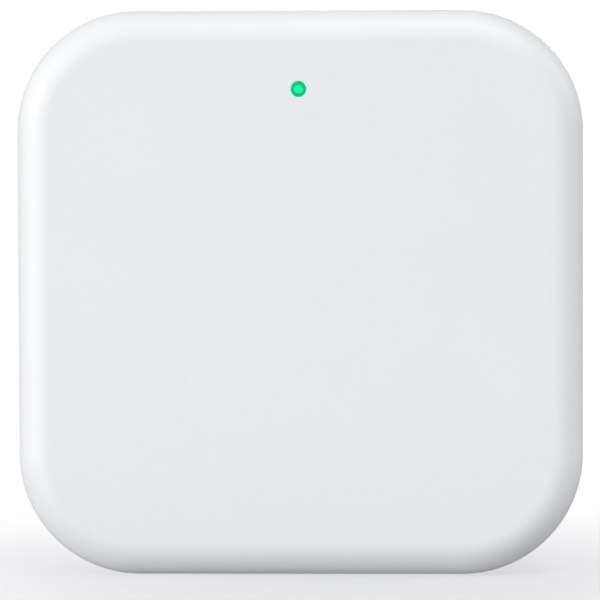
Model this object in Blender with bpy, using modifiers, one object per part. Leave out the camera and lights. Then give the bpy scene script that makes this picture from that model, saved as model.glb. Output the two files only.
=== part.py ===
"""A square smart home hub, 70 mm a side, standing on its bottom edge with its face towards -Y.

Everything is modelled as it would lie on a bench: face up, rubber feet down, x to the right, y towards
the light end of the face and z = 0 at the plane of the feet. The empty "hub_frame" then stands it up,
which takes bench (x, y, z) to world (x, DEPTH / 2 - z, SIDE / 2 + y).
"""

import math

import bmesh
import bpy
from mathutils import Matrix, Vector

MM = 0.001

# Driving dimensions
SIDE = 70 * MM
DEPTH = 26 * MM
CORNER_R = 15 * MM
FACE_EDGE_R = 4 * MM
REAR_EDGE_R = 3 * MM
WALL = 2 * MM
FOOT_PROUD = 0.8 * MM
PARTING_Z = 6.8 * MM
PARTING_GAP = 0.3 * MM
LIGHT_Y = 25.2 * MM

# Clearances
REST_GAP = 0.3 * MM
SOLDER_GAP = 0.1 * MM
SEAT_GAP = 0.2 * MM
OVERLAP = 0.5 * MM
PAST = 1 * MM

# Segments of a quarter round, and sides of a full one
CORNER_STEPS = 9
EDGE_STEPS = 5
SMALL_STEPS = 3
ROUND_SIDES = 24
SMALL_SIDES = 14
SHARP_ANGLE = math.radians(35)

# Levels through the case, on the bench
REAR_FACE_Z = FOOT_PROUD
FLOOR_Z = REAR_FACE_Z + WALL
CEILING_Z = DEPTH - WALL
REAR_RIM_Z = PARTING_Z - PARTING_GAP / 2
FRONT_RIM_Z = PARTING_Z + PARTING_GAP / 2
HALF_SIDE = SIDE / 2

# The lip of the rear cover that steps inside the front cover
LIP_INSET = WALL + REST_GAP
LIP_WALL = 1.2 * MM
LIP_TOP_Z = 9.2 * MM

# Main board
BOARD_T = 1.6 * MM
BOARD_Z = 8.4 * MM
BOARD_TOP_Z = BOARD_Z + BOARD_T
BOARD_W = 42 * MM
BOARD_LOW_Y = -28.5 * MM
BOARD_HIGH_Y = 30.9 * MM
BOARD_SCREW_X = 18 * MM
BOARD_SCREW_YS = (-25.5 * MM, 28 * MM)
BOARD_HOLE_R = 1.25 * MM
STANDOFF_R = 2.4 * MM
STANDOFF_PILOT_R = 1.15 * MM
ON_BOARD_Z = BOARD_TOP_Z + SOLDER_GAP
UNDER_BOARD_Z = BOARD_Z - SOLDER_GAP

# Case screws, driven from the rear
CASE_SCREW_AT = 25 * MM
BOSS_R = 3 * MM
PILOT_R = 1.3 * MM
RIB_T = 1.2 * MM
RIB_LOW_Z = 12 * MM
RIB_OUT_AT = 32.6 * MM
WELL_R = 2.4 * MM
WELL_WALL = 1.5 * MM
WELL_FLOOR_Z = 3.5 * MM
WELL_TOP_Z = 5 * MM
WELL_CHAMFER = 0.3 * MM
CASE_HEAD_R = 2.1 * MM
CASE_HEAD_H = 1.4 * MM
CASE_SHANK_R = 1.05 * MM
CASE_SHANK_L = 9 * MM

# USB-C receptacle, under the board, centred on the parting line
PORT_W = 8.94 * MM
PORT_H = 3.26 * MM
PORT_WALL = 0.3 * MM
PORT_L = 7.3 * MM
PORT_MOUTH_Y = HALF_SIDE - 0.5 * MM
PORT_Z = UNDER_BOARD_Z - PORT_H / 2
PORT_TAB_YS = (30.1 * MM, 28 * MM)

# Light pipe
PIPE_R = 1.5 * MM
PIPE_TIP_R = 0.95 * MM
PIPE_LOW_Z = 11.3 * MM
PIPE_BOSS_Z = 17 * MM
PIPE_BOSS_R = 2.7 * MM

# Reset button and the tactile switch that it presses
RESET_Y = -17.5 * MM
KEY_R = 2.4 * MM
KEY_HOLE_R = 2.7 * MM
KEY_DIMPLE = 0.9 * MM
KEY_TIP_Z = 1.2 * MM
KEY_COLLAR_R = 4 * MM
KEY_COLLAR_Z = 3.6 * MM
KEY_FLANGE_R = 3.5 * MM
KEY_FLANGE_T = 0.9 * MM
KEY_NUB_R = 1.2 * MM
KEY_NUB_TOP_Z = 5.2 * MM
SWITCH_W = 5.2 * MM
SWITCH_BASE_Z = 6.4 * MM
SWITCH_PLATE_T = 0.3 * MM
SWITCH_WELL_R = 2.1 * MM
PLUNGER_R = 1.2 * MM
PLUNGER_TIP_Z = KEY_NUB_TOP_Z + REST_GAP
PLUNGER_FLANGE_R = 1.7 * MM
PLUNGER_TOP_Z = 6.85 * MM
DOME_R = 1.85 * MM
DOME_T = 0.12 * MM
DOME_TOP_Z = PLUNGER_TOP_Z + REST_GAP + 0.05 * MM

# Rear face
FOOT_R = 3.75 * MM
FOOT_X = 14 * MM
FOOT_Y = 27 * MM
FOOT_SEAT_Z = 1.5 * MM
LABEL_W = 34 * MM
LABEL_H = 20 * MM
LABEL_R = 1.3 * MM
LABEL_T = 0.3 * MM
LABEL_Y = 0.5 * MM
LABEL_SEAT_Z = 1.25 * MM
VENT_COUNT = 9
VENT_PITCH = 3.2 * MM
VENT_W = 1.4 * MM
VENT_L = 8 * MM
VENT_Y = 18.5 * MM


# ---------------------------------------------------------------- scene set-up


def clear_scene():
    for obj in list(bpy.data.objects):
        bpy.data.objects.remove(obj)


def new_collection(name):
    made = bpy.data.collections.new(name)
    bpy.context.scene.collection.children.link(made)
    return made


clear_scene()
HUB = new_collection("smart_home_hub")
CUTTERS = new_collection("cutters")
FRAME = bpy.data.objects.new("hub_frame", None)
FRAME.location = (0, DEPTH / 2, HALF_SIDE)
FRAME.rotation_euler = (math.radians(90), 0, 0)
HUB.objects.link(FRAME)


def new_material(name, colour, roughness, metallic=0.0):
    material = bpy.data.materials.new(name)
    material.use_nodes = True
    shader = material.node_tree.nodes["Principled BSDF"]
    shader.inputs["Base Color"].default_value = (*colour, 1)
    shader.inputs["Roughness"].default_value = roughness
    shader.inputs["Metallic"].default_value = metallic
    return material


WHITE_ABS = new_material("white_abs", (0.82, 0.83, 0.84), 0.5)
GREY_ABS = new_material("grey_abs", (0.55, 0.56, 0.58), 0.5)
GREEN_LENS = new_material("green_lens", (0.05, 0.8, 0.4), 0.2)
BLACK_FOAM = new_material("black_foam", (0.03, 0.03, 0.03), 0.9)
GREY_RUBBER = new_material("grey_rubber", (0.35, 0.36, 0.37), 0.8)
LABEL_FILM = new_material("label_film", (0.75, 0.76, 0.77), 0.35)
GREEN_BOARD = new_material("green_board", (0.02, 0.16, 0.07), 0.45)
BLACK_BOARD = new_material("black_board", (0.02, 0.02, 0.025), 0.4)
BLACK_EPOXY = new_material("black_epoxy", (0.03, 0.03, 0.03), 0.5)
TINNED_STEEL = new_material("tinned_steel", (0.72, 0.72, 0.72), 0.3, 1)
ALUMINIUM = new_material("aluminium", (0.8, 0.8, 0.82), 0.3, 1)
ZINC_STEEL = new_material("zinc_steel", (0.6, 0.6, 0.62), 0.35, 1)
FERRITE = new_material("ferrite", (0.08, 0.08, 0.085), 0.6)
CERAMIC = new_material("ceramic", (0.75, 0.72, 0.66), 0.5)
BRONZE_SPRING = new_material("bronze_spring", (0.75, 0.6, 0.35), 0.3, 1)


# ---------------------------------------------------------------- shape makers


def slab(width, height, thickness, corner_r, steps=SMALL_STEPS, top_r=0.0, bottom_r=0.0, rim_steps=2):
    """A bmesh plate that stands on z = 0, with rounded corners and, where asked, rounded rims."""
    bm = bmesh.new()
    size = Matrix.Diagonal((width, height, thickness, 1))
    bmesh.ops.create_cube(bm, size=1, matrix=Matrix.Translation((0, 0, thickness / 2)) @ size)
    if corner_r:
        upright = [e for e in bm.edges if abs(e.verts[0].co.z - e.verts[1].co.z) > thickness / 2]
        round_edges(bm, upright, corner_r, steps)
    for radius, side in ((top_r, 1), (bottom_r, -1)):
        if radius:
            caps = [f for f in bm.faces if f.normal.z * side > 0.99]
            round_edges(bm, [e for f in caps for e in f.edges], radius, rim_steps)
    return bm


def round_edges(bm, edges, radius, steps):
    bmesh.ops.bevel(
        bm, geom=edges, offset=radius, offset_type="OFFSET", segments=steps, profile=0.5, affect="EDGES"
    )
    bmesh.ops.remove_doubles(bm, verts=bm.verts, dist=0.001 * MM)
    bm.normal_update()


def round_bar(radius, height, sides=ROUND_SIDES):
    """A bmesh cylinder that stands on z = 0."""
    bm = bmesh.new()
    bmesh.ops.create_cone(
        bm,
        cap_ends=True,
        segments=sides,
        radius1=radius,
        radius2=radius,
        depth=height,
        matrix=Matrix.Translation((0, 0, height / 2)),
    )
    return bm


def without_caps(bm, top=True, bottom=True):
    """Deletes the flat ends, so that Solidify can turn what is left into a shell or a tube."""
    ends = [f for f in bm.faces if (top and f.normal.z > 0.99) or (bottom and f.normal.z < -0.99)]
    bmesh.ops.delete(bm, geom=ends, context="FACES")
    return bm


def turned_profile(points):
    """A bmesh polyline of (radius, height) points, from top to bottom."""
    bm = bmesh.new()
    verts = [bm.verts.new((radius, 0, height)) for radius, height in points]
    for upper, lower in zip(verts, verts[1:]):
        bm.edges.new((upper, lower))
    return bm


def arc(centre, radius, start, end, steps):
    """(radius, height) points along an arc of a turned profile, with its angles in degrees."""
    angles = [math.radians(start + (end - start) * i / steps) for i in range(steps + 1)]
    return [(centre[0] + radius * math.cos(a), centre[1] + radius * math.sin(a)) for a in angles]


def place(name, bm, at, collection, material=None, turn=(0, 0, 0)):
    mesh = bpy.data.meshes.new(name)
    bm.to_mesh(mesh)
    bm.free()
    obj = bpy.data.objects.new(name, mesh)
    collection.objects.link(obj)
    obj.parent = FRAME
    obj.location = at
    obj.rotation_euler = turn
    if material:
        mesh.materials.append(material)
    return obj


def piece(name, bm, at, material, turn=(0, 0, 0)):
    return place(name, bm, at, HUB, material, turn)


def tool(name, bm, at, turn=(0, 0, 0)):
    """A helper for a Boolean, which the finished object doesn't show."""
    obj = place(name, bm, at, CUTTERS, None, turn)
    obj.hide_render = True
    obj.display_type = "WIRE"
    return obj


def solidify(obj, thickness):
    modifier = obj.modifiers.new("wall", "SOLIDIFY")
    modifier.thickness = thickness
    modifier.offset = -1
    modifier.use_even_offset = True
    return obj


def revolve(obj, sides=ROUND_SIDES):
    modifier = obj.modifiers.new("turn", "SCREW")
    modifier.axis = "Z"
    modifier.steps = sides
    modifier.render_steps = sides
    modifier.use_merge_vertices = True
    modifier.merge_threshold = 0.01 * MM
    return obj


def boolean(obj, operation, others):
    for other in others:
        modifier = obj.modifiers.new(f"{operation.lower()}_{other.name}", "BOOLEAN")
        modifier.operation = operation
        modifier.solver = "EXACT"
        modifier.object = other
    return obj


def smooth_by_angle():
    """A modifier's node group: shades every face smooth, and keeps the edges of steep corners sharp."""
    group = bpy.data.node_groups.new("smooth_by_angle", "GeometryNodeTree")
    group.is_modifier = True
    group.interface.new_socket("Geometry", in_out="INPUT", socket_type="NodeSocketGeometry")
    group.interface.new_socket("Geometry", in_out="OUTPUT", socket_type="NodeSocketGeometry")
    start = group.nodes.new("NodeGroupInput")
    end = group.nodes.new("NodeGroupOutput")
    smooth_faces = group.nodes.new("GeometryNodeSetShadeSmooth")
    smooth_faces.domain = "FACE"
    smooth_edges = group.nodes.new("GeometryNodeSetShadeSmooth")
    smooth_edges.domain = "EDGE"
    edge_angle = group.nodes.new("GeometryNodeInputMeshEdgeAngle")
    is_gentle = group.nodes.new("FunctionNodeCompare")
    is_gentle.operation = "LESS_THAN"
    is_gentle.inputs[1].default_value = SHARP_ANGLE
    group.links.new(edge_angle.outputs["Unsigned Angle"], is_gentle.inputs[0])
    group.links.new(is_gentle.outputs[0], smooth_edges.inputs["Shade Smooth"])
    group.links.new(start.outputs[0], smooth_faces.inputs["Geometry"])
    group.links.new(smooth_faces.outputs[0], smooth_edges.inputs["Geometry"])
    group.links.new(smooth_edges.outputs[0], end.inputs[0])
    return group


def shade(objects):
    group = smooth_by_angle()
    for obj in objects:
        modifier = obj.modifiers.new("smooth_by_angle", "NODES")
        modifier.node_group = group


def four(x, y):
    """The four places at plus and minus x and y."""
    return [(sx * x, sy * y) for sy in (1, -1) for sx in (-1, 1)]


CASE_SCREW_PLACES = four(CASE_SCREW_AT, CASE_SCREW_AT)
BOARD_SCREW_PLACES = [(sx * BOARD_SCREW_X, y) for y in BOARD_SCREW_YS for sx in (-1, 1)]
FOOT_PLACES = four(FOOT_X, FOOT_Y)


# ---------------------------------------------------------------- case


def port_opening():
    """The cutter of the opening for the USB-C plug, half in each cover."""
    width = PORT_W + 2 * REST_GAP
    height = PORT_H + 2 * REST_GAP
    length = HALF_SIDE - BOARD_HIGH_Y + PAST
    bm = slab(width, height, length + PAST, height / 2, steps=6)
    turn = (math.radians(90), 0, 0)
    return tool("port_opening", bm, (0, HALF_SIDE + PAST, PORT_Z), turn)


def front_cover(port):
    bm = slab(
        SIDE, SIDE, DEPTH - FRONT_RIM_Z, CORNER_R, CORNER_STEPS, top_r=FACE_EDGE_R, rim_steps=EDGE_STEPS
    )
    cover = piece("front_cover", without_caps(bm, top=False), (0, 0, FRONT_RIM_Z), WHITE_ABS)
    solidify(cover, WALL)

    boss_low_z = WELL_TOP_Z + REST_GAP
    boss_h = CEILING_Z + OVERLAP - boss_low_z
    rib_l = RIB_OUT_AT - CASE_SCREW_AT
    rib_h = CEILING_Z + OVERLAP - RIB_LOW_Z
    inside, drilled = [], []
    for i, (x, y) in enumerate(CASE_SCREW_PLACES, 1):
        inside.append(tool(f"case_boss_{i}", round_bar(BOSS_R, boss_h, SMALL_SIDES), (x, y, boss_low_z)))
        side_rib_x = x + math.copysign(rib_l / 2, x)
        end_rib_y = y + math.copysign(rib_l / 2, y)
        inside.append(tool(f"side_rib_{i}", slab(rib_l, RIB_T, rib_h, 0), (side_rib_x, y, RIB_LOW_Z)))
        inside.append(tool(f"end_rib_{i}", slab(RIB_T, rib_l, rib_h, 0), (x, end_rib_y, RIB_LOW_Z)))
        pilot_h = CASE_SHANK_L + WELL_FLOOR_Z + PAST - boss_low_z
        pilot = round_bar(PILOT_R, pilot_h + PAST, SMALL_SIDES)
        drilled.append(tool(f"case_pilot_{i}", pilot, (x, y, boss_low_z - PAST)))
    pipe_boss = round_bar(PIPE_BOSS_R, CEILING_Z + OVERLAP - PIPE_BOSS_Z)
    inside.append(tool("pipe_boss", pipe_boss, (0, LIGHT_Y, PIPE_BOSS_Z)))
    boolean(cover, "UNION", inside)
    drilled.append(pipe_bore())
    boolean(cover, "DIFFERENCE", drilled + [port])
    return cover


def pipe_bore():
    """The cutter of the stepped bore that the light pipe sits in, with a small chamfer at the face."""
    body_r = PIPE_R + 0.15 * MM
    tip_r = PIPE_TIP_R + 0.05 * MM
    shoulder_z = CEILING_Z - 0.1 * MM
    chamfer = 0.12 * MM
    points = [
        (0, DEPTH + PAST),
        (tip_r + chamfer, DEPTH + PAST),
        (tip_r + chamfer, DEPTH),
        (tip_r, DEPTH - chamfer),
        (tip_r, shoulder_z),
        (body_r, shoulder_z),
        (body_r, PIPE_BOSS_Z - PAST),
        (0, PIPE_BOSS_Z - PAST),
    ]
    return revolve(tool("pipe_bore", turned_profile(points), (0, LIGHT_Y, 0)))


def rear_cover(port):
    bm = slab(
        SIDE, SIDE, REAR_RIM_Z - REAR_FACE_Z, CORNER_R, CORNER_STEPS, bottom_r=REAR_EDGE_R, rim_steps=4
    )
    cover = piece("rear_cover", without_caps(bm, bottom=False), (0, 0, REAR_FACE_Z), WHITE_ABS)
    solidify(cover, WALL)
    boolean(cover, "UNION", rear_cover_inside())
    boolean(cover, "DIFFERENCE", rear_cover_openings() + [port])
    return cover


def lip_ring(name, inset, low_z, high_z):
    """A rounded-square tube whose outside is inset from the case and whose inside is the lip's."""
    width = SIDE - 2 * inset
    bm = slab(width, width, high_z - low_z, CORNER_R - inset, CORNER_STEPS)
    ring = tool(name, without_caps(bm), (0, 0, low_z))
    return solidify(ring, LIP_INSET + LIP_WALL - inset)


def rear_cover_inside():
    """The lip, screw wells, board standoffs and key collar."""
    in_floor_z = FLOOR_Z - OVERLAP
    step_z = REAR_RIM_Z - PARTING_GAP
    made = [
        lip_ring("lip_foot", WALL - OVERLAP, in_floor_z, step_z),
        lip_ring("lip", LIP_INSET, in_floor_z - 0.1 * MM, LIP_TOP_Z),
    ]
    for i, (x, y) in enumerate(CASE_SCREW_PLACES, 1):
        well = round_bar(WELL_R + WELL_WALL, WELL_TOP_Z - in_floor_z)
        made.append(tool(f"screw_well_{i}", well, (x, y, in_floor_z)))
    for i, (x, y) in enumerate(BOARD_SCREW_PLACES, 1):
        standoff = round_bar(STANDOFF_R, BOARD_Z - SOLDER_GAP - in_floor_z, SMALL_SIDES)
        made.append(tool(f"standoff_{i}", standoff, (x, y, in_floor_z)))
    collar = round_bar(KEY_COLLAR_R, KEY_COLLAR_Z - in_floor_z)
    made.append(tool("key_collar", collar, (0, RESET_Y, in_floor_z)))
    return made


def rear_cover_openings():
    """Cutters: screw wells, pilots, foot and label seats, vents, the key's hole and the port's notch."""
    out_z = REAR_FACE_Z - PAST
    made = []
    for i, (x, y) in enumerate(CASE_SCREW_PLACES, 1):
        steps = [
            (0, WELL_TOP_Z + PAST),
            (PILOT_R, WELL_TOP_Z + PAST),
            (PILOT_R, WELL_FLOOR_Z),
            (WELL_R, WELL_FLOOR_Z),
            (WELL_R, REAR_FACE_Z + WELL_CHAMFER),
            (WELL_R + WELL_CHAMFER, REAR_FACE_Z),
            (WELL_R + WELL_CHAMFER, out_z),
            (0, out_z),
        ]
        made.append(revolve(tool(f"well_bore_{i}", turned_profile(steps), (x, y, 0))))
    pilot_low_z = FLOOR_Z + 1 * MM
    for i, (x, y) in enumerate(BOARD_SCREW_PLACES, 1):
        pilot = round_bar(STANDOFF_PILOT_R, BOARD_Z + PAST - pilot_low_z, SMALL_SIDES)
        made.append(tool(f"standoff_pilot_{i}", pilot, (x, y, pilot_low_z)))
    for i, (x, y) in enumerate(FOOT_PLACES, 1):
        seat = round_bar(FOOT_R + SEAT_GAP, FOOT_SEAT_Z - out_z)
        made.append(tool(f"foot_seat_{i}", seat, (x, y, out_z)))
    seat_w = LABEL_W + 2 * SEAT_GAP
    seat_h = LABEL_H + 2 * SEAT_GAP
    label_seat = slab(seat_w, seat_h, LABEL_SEAT_Z - out_z, LABEL_R + SEAT_GAP)
    made.append(tool("label_seat", label_seat, (0, LABEL_Y, out_z)))
    for i in range(VENT_COUNT):
        x = (i - (VENT_COUNT - 1) / 2) * VENT_PITCH
        vent = slab(VENT_W, VENT_L, FLOOR_Z + PAST - out_z, VENT_W / 2)
        made.append(tool(f"vent_{i + 1}", vent, (x, VENT_Y, out_z)))
    dimple_r = KEY_HOLE_R + KEY_DIMPLE
    key_hole = [
        (0, KEY_COLLAR_Z + PAST),
        (KEY_HOLE_R, KEY_COLLAR_Z + PAST),
        (KEY_HOLE_R, REAR_FACE_Z + KEY_DIMPLE),
        (dimple_r, REAR_FACE_Z),
        (dimple_r, out_z),
        (0, out_z),
    ]
    made.append(revolve(tool("key_hole", turned_profile(key_hole), (0, RESET_Y, 0))))
    notch_l = 2.5 * MM
    notch = slab(PORT_W + 2 * MM, notch_l, LIP_TOP_Z + PAST - (PORT_Z - PORT_H / 2 - REST_GAP), 0)
    notch_y = HALF_SIDE - LIP_INSET + 0.2 * MM - notch_l / 2
    made.append(tool("lip_notch", notch, (0, notch_y, PORT_Z - PORT_H / 2 - REST_GAP)))
    return made


def rubber_feet():
    round_r = 0.4 * MM
    top_z = FOOT_SEAT_Z - 0.15 * MM
    rounded = arc((FOOT_R - round_r, round_r), round_r, 0, -90, SMALL_STEPS)
    points = [(0, top_z), (FOOT_R, top_z)] + rounded + [(0, 0)]
    for i, (x, y) in enumerate(FOOT_PLACES, 1):
        revolve(piece(f"rubber_foot_{i}", turned_profile(points), (x, y, 0), GREY_RUBBER))


def blank_label():
    film = slab(LABEL_W, LABEL_H, LABEL_T, LABEL_R)
    piece("blank_label", film, (0, LABEL_Y, LABEL_SEAT_Z - SOLDER_GAP - LABEL_T), LABEL_FILM)


# ---------------------------------------------------------------- fasteners


def pan_head_screw(name, at, head_r, head_h, shank_r, shank_l, material, turn=(0, 0, 0)):
    """A self-tapping screw with its head up, the underside of the head at z = 0 and a cross recess."""
    tip_l = 1.5 * shank_r
    round_r = 0.55 * head_h
    dome = arc((head_r - round_r, head_h - round_r), round_r, 90, 0, SMALL_STEPS)
    points = [(0, head_h)] + dome + [(head_r, 0), (shank_r, 0), (shank_r, tip_l - shank_l)]
    points += [(0.3 * shank_r, -shank_l), (0, -shank_l)]
    screw = revolve(piece(name, turned_profile(points), at, material, turn), SMALL_SIDES)
    recess_w = 0.26 * head_r
    recess_l = 1.15 * head_r
    recess_d = 0.6 * head_h
    centre = Vector(at) + Matrix.Rotation(turn[0], 3, "X") @ Vector((0, 0, head_h - recess_d))
    arms = [
        tool(f"{name}_arm_1", slab(recess_w, recess_l, recess_d + PAST, 0), centre, turn),
        tool(f"{name}_arm_2", slab(recess_l, recess_w, recess_d + PAST, 0), centre, turn),
    ]
    boolean(screw, "DIFFERENCE", arms)


def case_screws():
    head_under_z = WELL_FLOOR_Z - SOLDER_GAP
    for i, (x, y) in enumerate(CASE_SCREW_PLACES, 1):
        pan_head_screw(
            f"case_screw_{i}",
            (x, y, head_under_z),
            CASE_HEAD_R,
            CASE_HEAD_H,
            CASE_SHANK_R,
            CASE_SHANK_L,
            ZINC_STEEL,
            (math.radians(180), 0, 0),
        )


def board_screws():
    for i, (x, y) in enumerate(BOARD_SCREW_PLACES, 1):
        pan_head_screw(
            f"board_screw_{i}", (x, y, ON_BOARD_Z), 1.9 * MM, 1.3 * MM, 1 * MM, 5.5 * MM, ZINC_STEEL
        )


# ---------------------------------------------------------------- light


def light_pipe():
    """Carries the light from the board to the face. Its collar stops it against the boss."""
    collar_r = 2.2 * MM
    collar_top_z = PIPE_BOSS_Z - REST_GAP
    collar_t = 1 * MM
    shoulder_z = CEILING_Z - REST_GAP
    dome_h = 0.25 * MM
    points = [
        (0, DEPTH - 0.05 * MM),
        (0.6 * PIPE_TIP_R, DEPTH - 0.05 * MM - 0.3 * dome_h),
        (PIPE_TIP_R, DEPTH - 0.05 * MM - dome_h),
        (PIPE_TIP_R, shoulder_z),
        (PIPE_R, shoulder_z),
        (PIPE_R, collar_top_z),
        (collar_r, collar_top_z),
        (collar_r, collar_top_z - collar_t),
        (PIPE_R, collar_top_z - collar_t),
        (PIPE_R, PIPE_LOW_Z),
        (0, PIPE_LOW_Z),
    ]
    revolve(piece("light_pipe", turned_profile(points), (0, LIGHT_Y, 0), GREEN_LENS))


def light_baffle():
    """A foam ring that stands on the board round the light and the pipe's foot."""
    outer_r = 3.2 * MM
    inner_r = 1.8 * MM
    height = 3 * MM
    ring = without_caps(round_bar(outer_r, height))
    solidify(piece("light_baffle", ring, (0, LIGHT_Y, ON_BOARD_Z), BLACK_FOAM), outer_r - inner_r)


def status_led():
    led_w = 2 * MM
    led_h = 0.9 * MM
    piece("status_led", slab(led_w, led_w, led_h, 0.3 * MM), (0, LIGHT_Y, ON_BOARD_Z), CERAMIC)


# ---------------------------------------------------------------- boards and what they carry


def main_board():
    height = BOARD_HIGH_Y - BOARD_LOW_Y
    centre_y = (BOARD_HIGH_Y + BOARD_LOW_Y) / 2
    board = piece("main_board", slab(BOARD_W, height, BOARD_T, 1.5 * MM), (0, centre_y, BOARD_Z), GREEN_BOARD)
    holes = []
    for i, (x, y) in enumerate(BOARD_SCREW_PLACES, 1):
        hole = round_bar(BOARD_HOLE_R, BOARD_T + 2 * PAST, SMALL_SIDES)
        holes.append(tool(f"board_hole_{i}", hole, (x, y, BOARD_Z - PAST)))
    boolean(board, "DIFFERENCE", holes)


def usb_receptacle():
    """A steel tube with four soldered tabs, and the moulded tongue inside it."""
    along_y = (math.radians(90), 0, 0)
    tube = without_caps(slab(PORT_W, PORT_H, PORT_L, PORT_H / 2, steps=5))
    shell = piece("usb_shell", tube, (0, PORT_MOUTH_Y, PORT_Z), TINNED_STEEL, along_y)
    solidify(shell, PORT_WALL)
    tab_t = 0.5 * MM
    tab_l = 1.2 * MM
    tab_x = PORT_W / 2 - 0.1 * MM
    tabs = []
    for i, (x, y) in enumerate([(sx * tab_x, y) for y in PORT_TAB_YS for sx in (-1, 1)], 1):
        tabs.append(tool(f"usb_tab_{i}", slab(tab_t, tab_l, UNDER_BOARD_Z - PORT_Z, 0), (x, y, PORT_Z)))
    boolean(shell, "UNION", tabs)

    block_l = 1.6 * MM
    gap = PORT_WALL + 0.05 * MM
    block_h = PORT_H - 2 * gap
    block = slab(PORT_W - 2 * gap, block_h, block_l, block_h / 2, steps=5)
    block_y = PORT_MOUTH_Y - PORT_L + block_l
    tongue = piece("usb_tongue", block, (0, block_y, PORT_Z), BLACK_EPOXY, along_y)
    blade_l = 4.9 * MM
    blade = slab(6.69 * MM, 0.7 * MM, blade_l + OVERLAP, 0)
    boolean(tongue, "UNION", [tool("usb_blade", blade, (0, block_y + blade_l, PORT_Z), along_y)])


def shielded_module(name, at, board_size, can_size, can_shift):
    """A daughter board with a chip under a thin steel can."""
    x, y = at
    board_t = 0.8 * MM
    piece(f"{name}_board", slab(*board_size, board_t, 0.4 * MM), (x, y, ON_BOARD_Z), BLACK_BOARD)
    can_z = ON_BOARD_Z + board_t + SOLDER_GAP
    can_x = x + can_shift
    can_h = 2.3 * MM
    can = slab(*can_size, can_h, 0.6 * MM, top_r=0.35 * MM)
    solidify(
        piece(f"{name}_shield", without_caps(can, top=False), (can_x, y, can_z), TINNED_STEEL), 0.25 * MM
    )
    chip_w = 5 * MM
    piece(f"{name}_chip", slab(chip_w, chip_w, 0.85 * MM, 0), (can_x, y, can_z), BLACK_EPOXY)


def can_capacitor(name, x, y, radius, height):
    """A surface-mount electrolytic: a moulded base and a rolled aluminium can with a grooved neck."""
    base_w = 2 * radius + 0.3 * MM
    base_h = 0.9 * MM
    piece(f"{name}_base", slab(base_w, base_w, base_h, 0.8 * MM, 1), (x, y, ON_BOARD_Z), BLACK_EPOXY)
    low_z = ON_BOARD_Z + base_h + SOLDER_GAP
    top_z = low_z + height
    neck_r = 0.9 * radius
    neck_z = low_z + 0.8 * MM
    groove = 0.35 * MM
    points = [(0, top_z), (radius - 0.3 * MM, top_z), (radius, top_z - 0.3 * MM)]
    points += [(radius, neck_z + groove), (neck_r, neck_z), (radius, neck_z - groove), (radius, low_z)]
    points += [(0, low_z)]
    revolve(piece(f"{name}_can", turned_profile(points), (x, y, 0), ALUMINIUM), SMALL_SIDES)


def board_parts():
    shielded_module("wifi", (-8.05 * MM, -9 * MM), (25.5 * MM, 18 * MM), (17 * MM, 15.6 * MM), 3.2 * MM)
    shielded_module("radio", (13.4 * MM, -9 * MM), (13.6 * MM, 16 * MM), (10.6 * MM, 11 * MM), -0.6 * MM)
    can_capacitor("input_capacitor", 15.5 * MM, 18 * MM, 3.15 * MM, 5.2 * MM)
    can_capacitor("output_capacitor", 15.5 * MM, 9 * MM, 2.5 * MM, 5.2 * MM)
    chips = [
        ("memory_chip", -14 * MM, 7 * MM, 6 * MM, 4.9 * MM, 1.5 * MM, BLACK_EPOXY),
        ("regulator_chip", 1 * MM, 14 * MM, 2.9 * MM, 2.8 * MM, 1.1 * MM, BLACK_EPOXY),
        ("surge_diode", 8.6 * MM, 22 * MM, 2.6 * MM, 4 * MM, 2.1 * MM, BLACK_EPOXY),
        ("input_fuse", -8.4 * MM, 23 * MM, 1.8 * MM, 3.4 * MM, 1 * MM, CERAMIC),
        ("clock_crystal", 3.5 * MM, 4.5 * MM, 3.2 * MM, 2.5 * MM, 0.8 * MM, TINNED_STEEL),
        ("chip_antenna", 16.5 * MM, -22 * MM, 7 * MM, 2 * MM, 1.2 * MM, CERAMIC),
    ]
    for name, x, y, width, height, thickness, material in chips:
        piece(name, slab(width, height, thickness, 0.2 * MM, 1), (x, y, ON_BOARD_Z), material)
    coil = slab(5.2 * MM, 5.2 * MM, 3 * MM, 1 * MM, 2, top_r=0.4 * MM, rim_steps=1)
    piece("power_inductor", coil, (-7 * MM, 15 * MM, ON_BOARD_Z), FERRITE)


# ---------------------------------------------------------------- reset button and switch


def reset_button():
    """The key that a fingertip or a pen presses. Its flange holds it behind the rear cover."""
    flange_low_z = KEY_COLLAR_Z + REST_GAP
    flange_top_z = flange_low_z + KEY_FLANGE_T
    round_r = 0.5 * MM
    tip = arc((KEY_R - round_r, KEY_TIP_Z + round_r), round_r, 0, -90, SMALL_STEPS)
    points = [
        (0, KEY_NUB_TOP_Z),
        (KEY_NUB_R, KEY_NUB_TOP_Z),
        (KEY_NUB_R, flange_top_z),
        (KEY_FLANGE_R, flange_top_z),
        (KEY_FLANGE_R, flange_low_z),
        (KEY_R, flange_low_z),
    ]
    points += tip + [(0, KEY_TIP_Z)]
    revolve(piece("reset_button", turned_profile(points), (0, RESET_Y, 0), GREY_ABS))


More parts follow.
